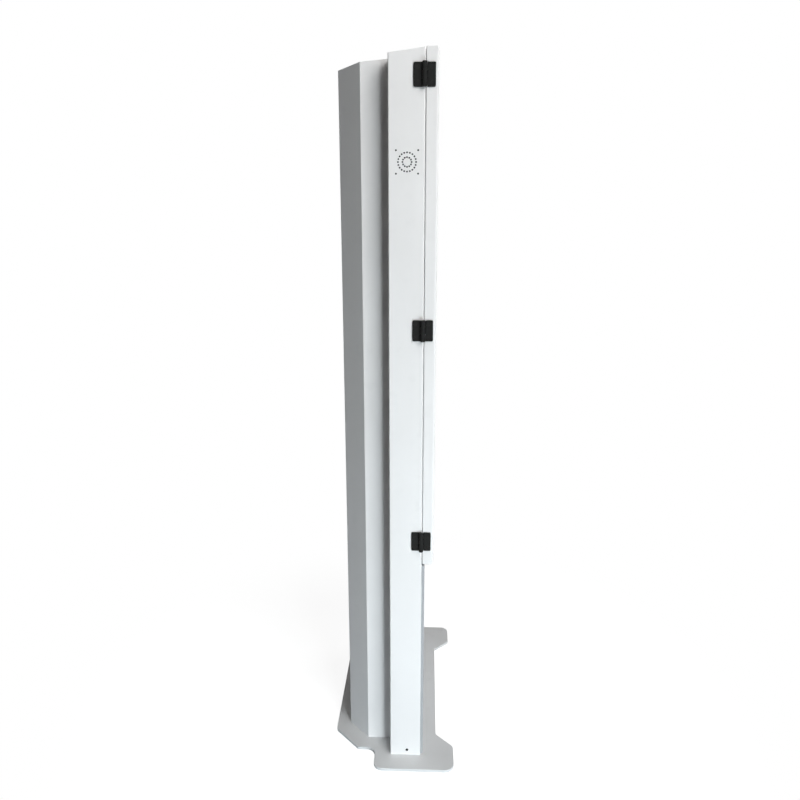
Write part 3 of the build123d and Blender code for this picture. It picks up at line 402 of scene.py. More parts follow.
@dataclass(frozen=True)
class Galvanised(Finish):
    """Zinc-dipped sheet with a faint spangle."""

    colour: Colour = (0.43, 0.445, 0.46)
    spangles: float = 160.0
    cloud_cells: float = 14.0
    grain_cells: float = 600.0
    grain_depth: float = 0.00002

    def build(self, tree: Tree) -> None:
        """Gives each spangle its own lightness and gloss.

        Args:
            tree: Empty tree of the material.
        """
        spangle = tree.cells(self.spangles)
        cloud = tree.noise(self.cloud_cells, detail=4.0)
        light = spangle * 0.6 + cloud * 0.4
        tree.surface(
            Base_Color=tree.tint(light, shade(self.colour, 0.90), shade(self.colour, 1.08)),
            Roughness=0.44 + spangle * 0.10 + cloud * 0.08,
            Metallic=1.0,
            Normal=tree.relief(tree.noise(self.grain_cells, detail=2.0), self.grain_depth),
        )


@dataclass(frozen=True)
class PlatedSteel(Finish):
    """Plated or blackened steel of small parts, with turning marks worn soft."""

    colour: Colour = (0.60, 0.61, 0.63)
    tinge: Colour = (0.62, 0.60, 0.52)
    roughness: float = 0.26
    metallic: float = 1.0
    sheen: float = 0.5
    patch_cells: float = 180.0
    scratch_cells: float = 900.0
    scratch_depth: float = 0.00001

    def build(self, tree: Tree) -> None:
        """Adds a patchy tinge and fine scratches.

        Args:
            tree: Empty tree of the material.
        """
        patch = tree.noise(self.patch_cells, detail=3.0).rising(0.35, 0.7)
        scratch = tree.noise(self.scratch_cells, detail=4.0, stretch=(1.0, 0.12, 1.0))
        tree.surface(
            Base_Color=tree.tint(patch, self.colour, self.tinge),
            Roughness=self.roughness + scratch * 0.16,
            Metallic=self.metallic,
            Specular_IOR_Level=self.sheen,
            Normal=tree.relief(scratch, self.scratch_depth),
        )


@dataclass(frozen=True)
class Moulding(Finish):
    """Moulded plastic or rubber with an eroded grain."""

    colour: Colour = (0.022, 0.022, 0.024)
    roughness: float = 0.48
    grain: float = 3200.0
    depth: float = 0.00004
    bloom: float = 0.35
    drift_cells: float = 30.0

    def build(self, tree: Tree) -> None:
        """Adds the grain and a pale bloom in drifting patches.

        Args:
            tree: Empty tree of the material.
        """
        grain = tree.noise(self.grain, detail=2.0)
        drift = tree.noise(self.drift_cells, detail=4.0).rising(0.3, 0.75)
        tree.surface(
            Base_Color=tree.tint(drift, self.colour, shade(self.colour, 1.0 + self.bloom)),
            Roughness=self.roughness + grain * 0.10 + drift * 0.05,
            Normal=tree.relief(grain, self.depth),
        )


@dataclass(frozen=True)
class InletMoulding(Finish):
    """Moulded inlet whose three contact pins are bright metal inside the socket."""

    centre: float
    middle: float
    floor: float
    tip: float
    half_width: float = 0.0085
    half_height: float = 0.0022
    fade: float = 0.0003
    grain_cells: float = 3000.0
    grain_depth: float = 0.00003
    colour: Colour = (0.022, 0.022, 0.024)
    contact: Colour = (0.66, 0.62, 0.50)

    def build(self, tree: Tree) -> None:
        """Marks the pins by where they stand in the socket.

        Args:
            tree: Empty tree of the material.
        """
        across, along, up = tree.axes()
        beside = abs(across - self.centre).rising(self.half_width, self.half_width + self.fade)
        above = abs(up - self.middle).rising(self.half_height, self.half_height + self.fade)
        beyond = along.rising(self.tip, self.tip + self.fade)
        deep = along.rising(self.floor, self.floor + self.fade) * (1.0 - beyond)
        pin = deep * (1.0 - beside) * (1.0 - above)
        grain = tree.noise(self.grain_cells, detail=2.0)
        tree.surface(
            Base_Color=tree.tint(pin, self.colour, self.contact),
            Metallic=pin,
            Roughness=0.46 + grain * 0.10 - pin * 0.22,
            Normal=tree.relief(grain, self.grain_depth),
        )


@dataclass(frozen=True)
class Extrusion(Finish):
    """Anodised aluminium with fine lines along its length."""

    colour: Colour = (0.050, 0.051, 0.055)
    line_cells: float = 1400.0
    line_depth: float = 0.00002

    def build(self, tree: Tree) -> None:
        """Draws the noise out along the height.

        Args:
            tree: Empty tree of the material.
        """
        lines = tree.noise(self.line_cells, detail=3.0, stretch=(1.0, 1.0, 0.01))
        tree.surface(
            Base_Color=tree.tint(lines, self.colour, shade(self.colour, 1.6)),
            Roughness=0.34 + lines * 0.16,
            Metallic=1.0,
            Normal=tree.relief(lines, self.line_depth),
        )


@dataclass(frozen=True)
class Board(Finish):
    """Circuit board: green mask over paler tracks, with dark parts standing on it."""

    face: float = 0.0
    face_margin: float = 0.0001
    track_pitch: float = 0.0022
    track_depth: float = 0.00003
    wander_cells: float = 70.0
    part_cells: float = 60.0
    mask_colour: Colour = (0.010, 0.085, 0.040)
    track_colour: Colour = (0.030, 0.170, 0.080)
    darkest_part: Colour = (0.018, 0.018, 0.020)
    palest_part: Colour = (0.10, 0.10, 0.105)

    def build(self, tree: Tree) -> None:
        """Colours what stands in front of the board's face as moulded parts.

        Args:
            tree: Empty tree of the material.
        """
        across, along, up = tree.axes()
        wander = tree.noise(self.wander_cells, detail=1.0).rising(0.42, 0.58)
        upright = across.repeated(self.track_pitch).rising(0.55, 0.75)
        level = up.repeated(self.track_pitch).rising(0.55, 0.75)
        track = upright * wander + level * (1.0 - wander)
        part = along.rising(self.face + self.face_margin, self.face - self.face_margin)
        green = tree.tint(track, self.mask_colour, self.track_colour)
        mixture = tree.cells(self.part_cells).rising(0.3, 0.8)
        mould = tree.tint(mixture, self.darkest_part, self.palest_part)
        tree.surface(
            Base_Color=tree.blend(part, green, mould),
            Roughness=0.30 + part * 0.22 + track * 0.05,
            Normal=tree.relief(track, self.track_depth),
        )


@dataclass(frozen=True)
class PressedPaper(Finish):
    """Black felted paper of a speaker cone."""

    colour: Colour = (0.018, 0.018, 0.019)
    fibre_cells: float = 1800.0
    fibre_depth: float = 0.00008

    def build(self, tree: Tree) -> None:
        """Adds tangled fibres.

        Args:
            tree: Empty tree of the material.
        """
        fibre = tree.noise(self.fibre_cells, detail=6.0, stretch=(1.0, 0.5, 1.0))
        tree.surface(
            Base_Color=tree.tint(fibre, self.colour, shade(self.colour, 3.0)),
            Roughness=0.70 + fibre * 0.2,
            Normal=tree.relief(fibre, self.fibre_depth),
        )


@dataclass(frozen=True)
class ClearGlass(Finish):
    """Toughened glass with a coat against reflections, clear and a little green."""

    tone: Colour = (0.93, 0.97, 0.955)
    index: float = 1.22
    streak_cells: float = 5.0

    def build(self, tree: Tree) -> None:
        """Adds faint wiped streaks that dull the gloss a little.

        Args:
            tree: Empty tree of the material.
        """
        streak = tree.noise(self.streak_cells, detail=1.0, stretch=(1.0, 1.0, 0.2))
        tree.surface(
            Base_Color=tree.tint(streak, self.tone, shade(self.tone, 0.99)),
            Roughness=0.008 + streak * 0.008,
            Transmission_Weight=1.0,
            IOR=self.index,
        )


@dataclass(frozen=True)
class DarkCell(Finish):
    """Face of a display that is switched off: almost black, under a fine haze."""

    colour: Colour = (0.0065, 0.0070, 0.0085)
    dot_pitch: float = 0.0005
    sheen: float = 0.04
    haze_cells: float = 5.0

    def build(self, tree: Tree) -> None:
        """Adds rows and columns of cells, and a haze that drifts.

        Args:
            tree: Empty tree of the material.
        """
        across, _, up = tree.axes()
        line = across.repeated(self.dot_pitch).rising(0.78, 0.95)
        row = up.repeated(self.dot_pitch).rising(0.78, 0.95)
        haze = tree.noise(self.haze_cells, detail=3.0)
        tree.surface(
            Base_Color=tree.tint(line * 0.5 + row * 0.5, self.colour, shade(self.colour, 0.45)),
            Roughness=0.24 + haze * 0.10,
            Specular_IOR_Level=self.sheen,
        )


@dataclass(frozen=True)
class BackPrint(Finish):
    """Black enamel fired on the rear of the glass."""

    colour: Colour = (0.008, 0.008, 0.009)
    sheen: float = 0.08
    mottle_cells: float = 240.0

    def build(self, tree: Tree) -> None:
        """Adds the slight mottle of a screened coat.

        Args:
            tree: Empty tree of the material.
        """
        mottle = tree.noise(self.mottle_cells, detail=4.0)
        tree.surface(
            Base_Color=tree.tint(mottle, self.colour, shade(self.colour, 1.5)),
            Roughness=0.30 + mottle * 0.12,
            Specular_IOR_Level=self.sheen,
        )


WHITE_COAT = PowderCoat("white_coat")
PLATE_COAT = PowderCoat(
    "plate_coat", (0.81, 0.81, 0.805), 0.52, peel_cells=700.0, peel_depth=0.00005, marks=0.05
)
GREY_COAT = PowderCoat("grey_coat", (0.42, 0.428, 0.44), 0.42)
BLACK_COAT = RubbedCoat("black_coat")
BLACK_STEEL = PlatedSteel(
    "black_steel", (0.006, 0.006, 0.006), (0.012, 0.012, 0.011), 0.40, metallic=0.0, sheen=0.25
)
ZINC = PlatedSteel("zinc")
LOCK_STEEL = PlatedSteel("lock_steel", (0.56, 0.56, 0.57), (0.60, 0.58, 0.52), 0.22)
CHROME = PlatedSteel("chrome", (0.78, 0.79, 0.81), (0.74, 0.75, 0.77), 0.05)
SHEET = Galvanised("galvanised")
PLASTIC = Moulding("black_plastic")
ROCKER = Moulding("rocker_plastic", (0.028, 0.028, 0.030), 0.26, grain=4200.0, depth=0.00001)
BASKET = Moulding("basket_coat", (0.050, 0.050, 0.053), 0.42, 2600.0)
BUTTON = Moulding(
    "button_plastic", (0.52, 0.52, 0.54), 0.30, grain=4200.0, depth=0.00001, bloom=0.04
)
RUBBER = Moulding("rubber", (0.020, 0.020, 0.020), 0.78, grain=2400.0, depth=0.00010, bloom=0.6)
SPONGE = Moulding("sponge", (0.62, 0.62, 0.63), 0.88, grain=1500.0, depth=0.00040, bloom=0.15)
PAPER = PressedPaper("cone_paper")
GLASS = ClearGlass("door_glass")
CELL = DarkCell("display_cell")
PRINT = BackPrint("glass_print")
FINS = Extrusion("anodised_fins")

SLOT_FINISH: Dict[str, Finish] = {
    "white_powder_coat": WHITE_COAT,
    "plate_powder_coat": PLATE_COAT,
    "grey_powder_coat": GREY_COAT,
    "black_zinc": BLACK_COAT,
    "black_steel": BLACK_STEEL,
    "zinc_steel": ZINC,
    "galvanised_sheet": SHEET,
    "chrome": CHROME,
    "lock_steel": LOCK_STEEL,
    "black_plastic": PLASTIC,
    "rocker_plastic": ROCKER,
    "speaker_metal": BASKET,
    "speaker_paper": PAPER,
    "rubber": RUBBER,
    "glass": GLASS,
    "display_panel": CELL,
    "black_aluminium": FINS,
    "button_plastic": BUTTON,
    "circuit_board": Board("circuit_board"),
}


# ---- Surfaces -----------------------------------------------------------------------------------
class Along(Enum):
    """Axis that a turned piece points along; the value is that coordinate's place."""

    X = 0
    Y = 1


def turned(stations: np.ndarray, along: Along, centre: Sequence[float], sides: int) -> np.ndarray:
    """Works out a surface of revolution whose stations may be hexagons.

    A station's radius is carried round a circle.  Where its share of a hexagon is 1, the radius is
    the flat's distance over the cosine of the angle from the middle of the nearest flat, and
    between 0 and 1 it is a mean of both.

    Args:
        stations: Rows of radius, height along the axis and share of a hexagon.
        along: Axis of revolution.
        centre: Point on the axis that heights are measured from.
        sides: Points round each station.

    Returns:
        Points, stations by sides by three.
    """
    radius, height, flats = (stations[:, k, None] for k in range(3))
    angle = np.linspace(0.0, 2.0 * np.pi, sides, endpoint=False)[None, :]
    flat = 1.0 / np.cos(np.mod(angle, np.pi / 3.0) - np.pi / 6.0)
    reach = radius * (1.0 - flats + flats * flat)
    parts = [reach * np.cos(angle), reach * np.sin(angle)]
    parts.insert(along.value, height + np.zeros_like(reach))
    return np.stack(parts, axis=-1) + np.asarray(centre)


def stations_of(profile: Sequence[Tuple[float, float]], flats: float = 0.0) -> np.ndarray:
    """Returns turning stations for a plain profile of radius and height."""
    plain = np.asarray(profile, dtype=float)
    return np.column_stack([plain, np.full(len(plain), flats)])


def softened(corners: Sequence[Tuple[float, float]], reach: float, steps: int = 4) -> np.ndarray:
    """Rounds every corner of a closed outline.

    At each corner a parabola runs from one leg to the other: a weighted mean of the point a reach
    before the corner, the corner itself and the point a reach after it, with the weights of a
    second-degree Bernstein curve.

    Args:
        corners: Corners in order.
        reach: Distance from a corner at which its curve starts.
        steps: Points on each curve.

    Returns:
        Points of the rounded outline, in order, two numbers each.
    """
    at = np.asarray(corners, dtype=float)
    before, after = np.roll(at, 1, axis=0) - at, np.roll(at, -1, axis=0) - at
    lengths = [np.linalg.norm(leg, axis=1, keepdims=True) for leg in (before, after)]
    start = at + before / lengths[0] * np.minimum(reach, 0.45 * lengths[0])
    end = at + after / lengths[1] * np.minimum(reach, 0.45 * lengths[1])
    t = np.linspace(0.0, 1.0, steps)[None, :, None]
    curve = (1 - t) ** 2 * start[:, None] + 2 * t * (1 - t) * at[:, None] + t**2 * end[:, None]
    return curve.reshape(-1, 2)


def rounded_loop(half: float, low: float, high: float, radius: float, steps: int = 7) -> np.ndarray:
    """Works out an upright rectangle with round corners.

    Each corner is a quarter circle about its own centre; the straight runs lie between them.

    Args:
        half: Half the width.
        low: Lower edge.
        high: Upper edge.
        radius: Radius of the corners.
        steps: Points on each corner.

    Returns:
        Rows of across, up, and the outward direction's across and up.
    """
    quarter = np.linspace(0.0, np.pi / 2.0, steps)
    turn = (quarter[None, :] + np.arange(4)[:, None] * np.pi / 2.0).reshape(-1)
    side = np.repeat([1.0, -1.0, -1.0, 1.0], steps) * (half - radius)
    rise = np.repeat([high - radius, high - radius, low + radius, low + radius], steps)
    out = np.column_stack([np.cos(turn), np.sin(turn)])
    return np.column_stack([side + radius * out[:, 0], rise + radius * out[:, 1], out])


def strip_along(loop: np.ndarray, profile: np.ndarray) -> np.ndarray:
    """Carries a profile round an upright loop.

    A point of the profile goes outwards from the loop by its first number, and to the rear, along
    +Y, by its second.

    Args:
        loop: Rows from rounded_loop.
        profile: Rows of outward distance and depth.

    Returns:
        Points, loop by profile by three.
    """
    across = loop[:, None, 0] + loop[:, None, 2] * profile[None, :, 0]
    up = loop[:, None, 1] + loop[:, None, 3] * profile[None, :, 0]
    return np.stack([across, np.broadcast_to(profile[None, :, 1], across.shape), up], axis=-1)


class Shell:
    """Grids of points gathered into one mesh."""

    def __init__(self) -> None:
        """Starts with no surface."""
        self._points: List[np.ndarray] = []
        self._quads: List[np.ndarray] = []
        self._count = 0

    def add(
        self, grid: np.ndarray, round_rows: bool = False, round_columns: bool = True
    ) -> "Shell":
        """Adds a grid of points, with a quad between each four neighbours.

        Args:
            grid: Points, rows by columns by three.
            round_rows: Whether the last row joins the first.
            round_columns: Whether the last column joins the first.

        Returns:
            This shell.
        """
        rows, columns = grid.shape[:2]
        index = np.arange(rows * columns).reshape(rows, columns) + self._count
        index = np.vstack([index, index[:1]]) if round_rows else index
        index = np.hstack([index, index[:, :1]]) if round_columns else index
        quads = np.stack([index[:-1, :-1], index[:-1, 1:], index[1:, 1:], index[1:, :-1]], axis=-1)
        self._points.append(grid.reshape(-1, 3))
        self._quads.append(quads.reshape(-1, 4))
        self._count += rows * columns
        return self

    def build(self, name: str, crease: float = 35.0) -> bpy.types.Object:
        """Makes the mesh: poles are merged and the faces are turned outwards.

        Args:
            name: Name of the piece.
            crease: Angle in degrees past which an edge stays sharp.

        Returns:
            The piece, at the origin.
        """
        mesh = bpy.data.meshes.new(name)
        mesh.from_pydata(np.concatenate(self._points), [], np.concatenate(self._quads))
        work = bmesh.new()
        work.from_mesh(mesh)
        bmesh.ops.remove_doubles(work, verts=work.verts, dist=1e-6)
        bmesh.ops.dissolve_degenerate(work, edges=work.edges, dist=1e-7)
        bmesh.ops.recalc_face_normals(work, faces=work.faces)
        work.to_mesh(mesh)
        work.free()
        mesh.polygons.foreach_set("use_smooth", np.ones(len(mesh.polygons), dtype=bool))
        mesh.set_sharp_from_angle(angle=math.radians(crease))
        piece = bpy.data.objects.new(name, mesh)
        bpy.context.scene.collection.objects.link(piece)
        return piece


def ring(outline: np.ndarray, along: Along, centre: Sequence[float], sides: int) -> Shell:
    """Returns a closed outline of radius and height, turned about an axis."""
    return Shell().add(turned(stations_of(outline), along, centre, sides), round_rows=True)


def middle_of(node: str) -> np.ndarray:
    """Returns the middle of a solid's box."""
    return np.mean([tuple(corner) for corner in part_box(node)], axis=0)


# ---- Threaded and turned parts ------------------------------------------------------------------
class Head(Enum):
    """Head of a screw."""

    BUTTON = "button"
    FLUSH = "flush"


@dataclass(frozen=True)
class Screw:
    """A metric screw with a hexagon socket in its head; heights count outwards from its seat."""

    size: float
    length: float
    head: Head = Head.BUTTON
    head_share: float = 0.95
    head_height: float = 0.0
    pitch_share: float = 0.17
    nut_at: Optional[float] = None

    # Shares of the thread's size; the flare is a share of the socket's flat, and the crown's two
    # are shares of the head's radius and height.
    SOCKET_FLAT: ClassVar[float] = 0.31
    SOCKET_DEPTH: ClassVar[float] = 0.34
    SOCKET_POINT: ClassVar[float] = 0.05
    SOCKET_LEAD: ClassVar[float] = 0.03
    SOCKET_FLARE: ClassVar[float] = 1.06
    BUTTON_HEIGHT: ClassVar[float] = 0.5
    FLUSH_RIM: ClassVar[float] = 0.04
    CROWN_FLAT: ClassVar[float] = 0.5
    CROWN_FOOT: ClassVar[float] = 0.2
    THREAD_DEPTH: ClassVar[float] = 0.09
    NUT_FLAT: ClassVar[float] = 0.82
    NUT_HEIGHT: ClassVar[float] = 0.8
    SIDES: ClassVar[int] = 24

    @property
    def top(self) -> float:
        """Returns the height of the head's top."""
        return 0.0 if self.head is Head.FLUSH else self.BUTTON_HEIGHT * self.size

    def _socket(self) -> np.ndarray:
        """Works out the socket, from the axis up to its rim.

        Returns:
            Its stations.
        """
        flat, floor = self.SOCKET_FLAT * self.size, self.top - self.SOCKET_DEPTH * self.size
        return np.array([
            [0.0, floor - self.SOCKET_POINT * self.size, 1.0],
            [flat, floor, 1.0],
            [flat, self.top - self.SOCKET_LEAD * self.size, 1.0],
            [flat * self.SOCKET_FLARE, self.top, 1.0],
        ])

    def _head(self) -> np.ndarray:
        """Works out the head, from its socket to the shank.

        A button's crown is a quarter ellipse from its flat top to its rim; a flush head is a cone.

        Returns:
            Its stations.
        """
        radius, shank = self.head_share * self.size, 0.5 * self.size
        if self.head is Head.FLUSH:
            rim = self.FLUSH_RIM * self.size
            return stations_of([(radius - rim, 0.0), (radius, -rim), (shank, -self.head_height)])
        turn = np.linspace(np.pi / 2.0, 0.0, 9)
        across = self.CROWN_FLAT + (1.0 - self.CROWN_FLAT) * np.cos(turn)
        up = self.CROWN_FOOT + (1.0 - self.CROWN_FOOT) * np.sin(turn)
        crown = np.column_stack([radius * across, self.top * up])
        return np.vstack([stations_of(crown), stations_of([(radius, 0.0), (shank, 0.0)])])

    def _shank(self) -> np.ndarray:
        """Works out the threaded shank, whose radius rises and falls once a pitch.

        Returns:
            Its stations.
        """
        run = self.length - self.head_height
        turns = max(3, int(run / (self.pitch_share * self.size)))
        down = np.linspace(0.0, 1.0, 2 * turns + 1)
        radius = 0.5 * self.size * (1.0 - self.THREAD_DEPTH * (np.arange(2 * turns + 1) % 2))
        thread = np.column_stack([radius, -self.head_height - down * run])
        return stations_of(np.vstack([thread, [0.0, -self.length]]))

    def grids(self, along: Along, outward: int, centre: Sequence[float]) -> List[np.ndarray]:
        """Works out the screw's surfaces.

        Args:
            along: Axis of the screw.
            outward: Sign of the head's side.
            centre: Point on the seat, on the screw's axis.

        Returns:
            The screw's grid, and its nut's where it has one.
        """
        rows = [np.vstack([self._socket(), self._head(), self._shank()])]
        if self.nut_at is not None:
            near, far = -self.nut_at, -self.nut_at - self.NUT_HEIGHT * self.size
            bore, flat = 0.5 * self.size, self.NUT_FLAT * self.size
            rows.append(stations_of([(bore, near), (flat, near), (flat, far), (bore, far)], 1.0))
            rows[-1][[0, -1], 2] = 0.0
        made = []
        for stations in rows:
            stations[:, 1] *= outward
            made.append(turned(stations, along, centre, self.SIDES))
        return made


# ---- Sub-assemblies -----------------------------------------------------------------------------
class SubAssembly(ABC):
    """A group of pieces that is dressed together."""

    @abstractmethod
    def build(self, nodes: Mapping[str, bpy.types.Object]) -> None:
        """Forms the group's own pieces and dresses what needs more than its slot's finish.

        Args:
            nodes: Solids of the frame by name.
        """

    @staticmethod
    def present(
        shell: Shell,
        name: str,
        body: str,
        slot: str,
        replaced: Optional[str] = None,
        finish: Optional[Finish] = None,
        crease: float = 35.0,
    ) -> None:
        """Turns a shell into a piece of the kiosk.

        Args:
            shell: Surfaces of the piece.
            name: Its name.
            body: Body that it moves with.
            slot: Material slot of the record that it stands in.
            replaced: Solid that it stands for.
            finish: Its finish, where that isn't the slot's.
            crease: Angle in degrees past which an edge stays sharp.
        """
        piece = shell.build(name, crease)
        (finish or SLOT_FINISH[slot]).dress(piece)
        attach(piece, body)
        if replaced:
            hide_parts(replaced)
        LOG.info("%s rides on %s, %d faces", name, body, len(piece.data.polygons))

    def screw_set(
        self,
        node: str,
        screw: Screw,
        along: Along,
        seats: Sequence[Tuple[int, Sequence[float]]],
        body: str = "kiosk",
        slot: str = "black_steel",
    ) -> None:
        """Replaces a solid group of fasteners with threaded ones.

        Args:
            node: Solid group that is replaced; the piece is named after it.
            screw: Form of each screw.
            along: Axis of the screws.
            seats: Outward sign and seat point of each screw.
            body: Body that they move with.
            slot: Material slot of the record.
        """
        shell = Shell()
        for outward, centre in seats:
            for grid in screw.grids(along, outward, centre):
                shell.add(grid)
        self.present(shell, f"{node}_threaded", body, slot, node)

    def screw_columns(
        self,
        node: str,
        screw: Screw,
        slot: str = "black_steel",
        rows: int = 3,
        outward: int = -1,
        seat: Optional[float] = None,
    ) -> None:
        """Replaces a solid group of fasteners that stand in two columns.

        The outer heads touch the edges of the group's box.

        Args:
            node: Solid group that is replaced.
            screw: Form of each screw.
            slot: Material slot of the record.
            rows: Screws in a column.
            outward: Sign of the heads' side along Y.
            seat: Depth of the seats, where the heads don't start at the front of the box.
        """
        low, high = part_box(node)
        seat = low.y + screw.top if seat is None else seat
        edge = screw.head_share * screw.size
        up = np.linspace(low.z + edge, high.z - edge, rows)
        seats = [(outward, (x, seat, z)) for z in up for x in (low.x + edge, high.x - edge)]
        self.screw_set(node, screw, Along.Y, seats, slot=slot)


@dataclass
class Cabinet(SubAssembly):
    """Front housing with the lower panel and the screws at its foot."""

    foot_screw: Screw = Screw(0.004, 0.0072)
    panel_screw: Screw = Screw(0.005, 0.0135, Head.FLUSH, 0.9, 0.002)
    tray_screw: Screw = Screw(0.004, 0.008)

    def build(self, nodes: Mapping[str, bpy.types.Object]) -> None:
        """Forms the foot screws, the lower panel's screws and the equipment tray's screws.

        Args:
            nodes: Solids of the frame by name.
        """
        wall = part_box("housing_shell")[1].x
        _, y, z = middle_of("foot_screws")
        seats = [(side, (side * wall, y, z)) for side in (-1, 1)]
        self.screw_set("foot_screws", self.foot_screw, Along.X, seats)
        self.screw_columns("lower_panel_screws", self.panel_screw)
        self.screw_columns("equipment_tray_screws", self.tray_screw, "zinc_steel")


@dataclass
class Column(SubAssembly):
    """Rear column with its service panel, its inlet and the cable pass to the housing."""

    joint_screw: Screw = Screw(0.005, 0.009, nut_at=0.004)
    joint_rows: int = 7
    panel_screw: Screw = Screw(0.004, 0.0075)
    grommet_bore: float = 0.020
    grommet_neck: float = 0.025
    grommet_softness: float = 0.0012
    grommet_sides: int = 72
    inlet_flange: float = 0.004
    socket_share: float = 0.3
    socket_depth: float = 0.0202
    pin_recess: float = 0.0080

    def build(self, nodes: Mapping[str, bpy.types.Object]) -> None:
        """Forms the screws and the rubber ring, and brings out the inlet's contacts.

        Args:
            nodes: Solids of the frame by name.
        """
        self.screw_columns("column_screws", self.joint_screw, "zinc_steel", self.joint_rows)
        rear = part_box("service_panel")[1].y
        self.screw_columns("service_panel_screws", self.panel_screw, outward=1, seat=rear)
        self._grommet()
        self._inlet(nodes["power_inlet"])

    def _grommet(self) -> None:
        """Forms the ring: a closed outline with softened corners, turned about its bore."""
        low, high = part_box("cable_grommet")
        rim = (high.x - low.x) / 2
        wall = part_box("housing_shell")[1].y
        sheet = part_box("column_screws")[0].y + self.joint_screw.top
        bore, neck = self.grommet_bore, self.grommet_neck
        profile = [
            (bore, low.y), (rim, low.y), (rim, sheet), (neck, sheet),
            (neck, wall), (rim, wall), (rim, high.y), (bore, high.y),
        ]
        centre = middle_of("cable_grommet") * (1.0, 0.0, 1.0)
        outline = softened(profile, self.grommet_softness)
        shell = ring(outline, Along.Y, centre, self.grommet_sides)
        self.present(shell, "cable_grommet_ring", "kiosk", "rubber", "cable_grommet", crease=50.0)

    def _inlet(self, node: bpy.types.Object) -> None:
        """Gives the inlet a finish that knows its contact pins.

        Args:
            node: Solid of the inlet.
        """
        low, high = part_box("power_inlet")
        foot, top = low.z + self.inlet_flange, high.z - self.inlet_flange
        finish = InletMoulding(
            "inlet_moulding",
            centre=(low.x + high.x) / 2,
            middle=foot + self.socket_share * (top - foot),
            floor=high.y - self.socket_depth,
            tip=high.y - self.pin_recess,
        )
        finish.dress(node)


@dataclass
class Fans(SubAssembly):
    """Two axial fans behind the guard holes at the column's head."""

    blades: int = 7
    hub: float = 0.019
    tip: float = 0.0416
    bore: float = 0.00205
    bore_depth: float = 0.0170
    screw: Screw = Screw(0.004, 0.008)
    screw_pitch: float = 0.0825
    chord: Tuple[float, float] = (46.0, 40.0)
    rise: Tuple[float, float] = (0.0160, 0.0115)
    thickness: float = 0.0016
    root_sink: float = 0.0010
    lean: float = 0.30
    camber: float = 0.0012
    cup_edge: float = 0.0012
    sides: int = 64

    def _blade(self, start: float, middle: float) -> np.ndarray:
        """Works out one blade.

        Along the chord it climbs from the rear to the front of the hub on a shallow arc, and it
        leans back with the square of the radius.  Its skin is that arc plus and minus half a
        thickness, which swells as the root of the product of the distances to both edges.

        Args:
            start: Angle of the blade's root, in radians.
            middle: Height of the rotor's middle.

        Returns:
            Points, radial stations by the loop round the chord.
        """
        out = np.linspace(0.0, 1.0, 12)[:, None]
        loop = np.linspace(0.0, 2.0 * np.pi, 28, endpoint=False)[None, :]
        chord = 0.5 - 0.5 * np.cos(loop)
        side = np.sign(np.sin(loop) + 1e-9)
        radius = self.hub - self.root_sink + out * (self.tip - self.hub + self.root_sink)
        spread = np.radians(self.chord[0] + out * (self.chord[1] - self.chord[0]))
        height = self.rise[0] + out * (self.rise[1] - self.rise[0])
        angle = start + (chord - 0.5) * spread + self.lean * out**2
        bow = 4.0 * chord * (1.0 - chord)
        swell = 0.5 * self.thickness * np.sqrt(np.clip(bow, 0.0, 1.0)) * side
        closing = np.ones_like(out)
        closing[[0, -1]] = 0.0
        level = middle + (chord - 0.5) * height + self.camber * bow + swell * closing
        return np.stack([radius * np.cos(angle), level, radius * np.sin(angle)], axis=-1)

    def _rotor(self, side: str) -> None:
        """Forms one rotor: a cup that turns on the shaft, and its blades.

        Args:
            side: Side of the fan, left or right.
        """
        node = f"{side}_fan_rotor"
        low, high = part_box(node)
        centre = middle_of(f"{side}_fan_frame") * (1.0, 0.0, 1.0)
        edge, end = self.cup_edge, low.y + self.bore_depth
        turn = np.linspace(0.0, np.pi / 2.0, 6)
        crown = edge * np.column_stack([np.cos(turn), np.sin(turn)])
        cup = np.vstack([
            [[self.bore, low.y], [self.hub - edge, low.y], [self.hub, low.y + edge]],
            crown + (self.hub - edge, high.y - edge),
            [[0.0, high.y], [0.0, end], [self.bore, end]],
        ])
        shell = ring(cup, Along.Y, centre, self.sides)
        for k in range(self.blades):
            shell.add(self._blade(2.0 * np.pi * k / self.blades, (low.y + high.y) / 2) + centre)
        name, body = f"{side}_fan_impeller", f"{side}_rotor"
        self.present(shell, name, body, "black_plastic", node, crease=40.0)

    def build(self, nodes: Mapping[str, bpy.types.Object]) -> None:
        """Forms both rotors and the screws that hold their frames.

        Args:
            nodes: Solids of the frame by name.
        """
        seats = []
        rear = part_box("column_shell")[1].y
        ways = (-self.screw_pitch / 2, self.screw_pitch / 2)
        for side in ("left", "right"):
            self._rotor(side)
            x, _, z = middle_of(f"{side}_fan_frame")
            seats += [(1, (x + across, rear, z + up)) for across in ways for up in ways]
        self.screw_set("fan_screws", self.screw, Along.Y, seats)


@dataclass
class Hinges(SubAssembly):
    """Three butt hinges on the left side, with countersunk screws in each leaf."""

    screw: Screw = Screw(0.005, 0.013, Head.FLUSH, 0.95, 0.0025)
    pitch: float = 0.030
    places: Tuple[str, ...] = ("upper", "middle", "lower")

    def build(self, nodes: Mapping[str, bpy.types.Object]) -> None:
        """Forms the screws of the leaves on the housing and on the door.

        Args:
            nodes: Solids of the frame by name.
        """
        for part, body in (("housing", "kiosk"), ("door", "door")):
            node = f"hinge_{part}_screws"
            face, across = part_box(node)[0].x, middle_of(node)[1]
            middles = [middle_of(f"{place}_hinge_{part}_leaf")[2] for place in self.places]
            ways = (-self.pitch / 2, self.pitch / 2)
            seats = [(-1, (face, across, middle + up)) for middle in middles for up in ways]
            self.screw_set(node, self.screw, Along.X, seats, body)


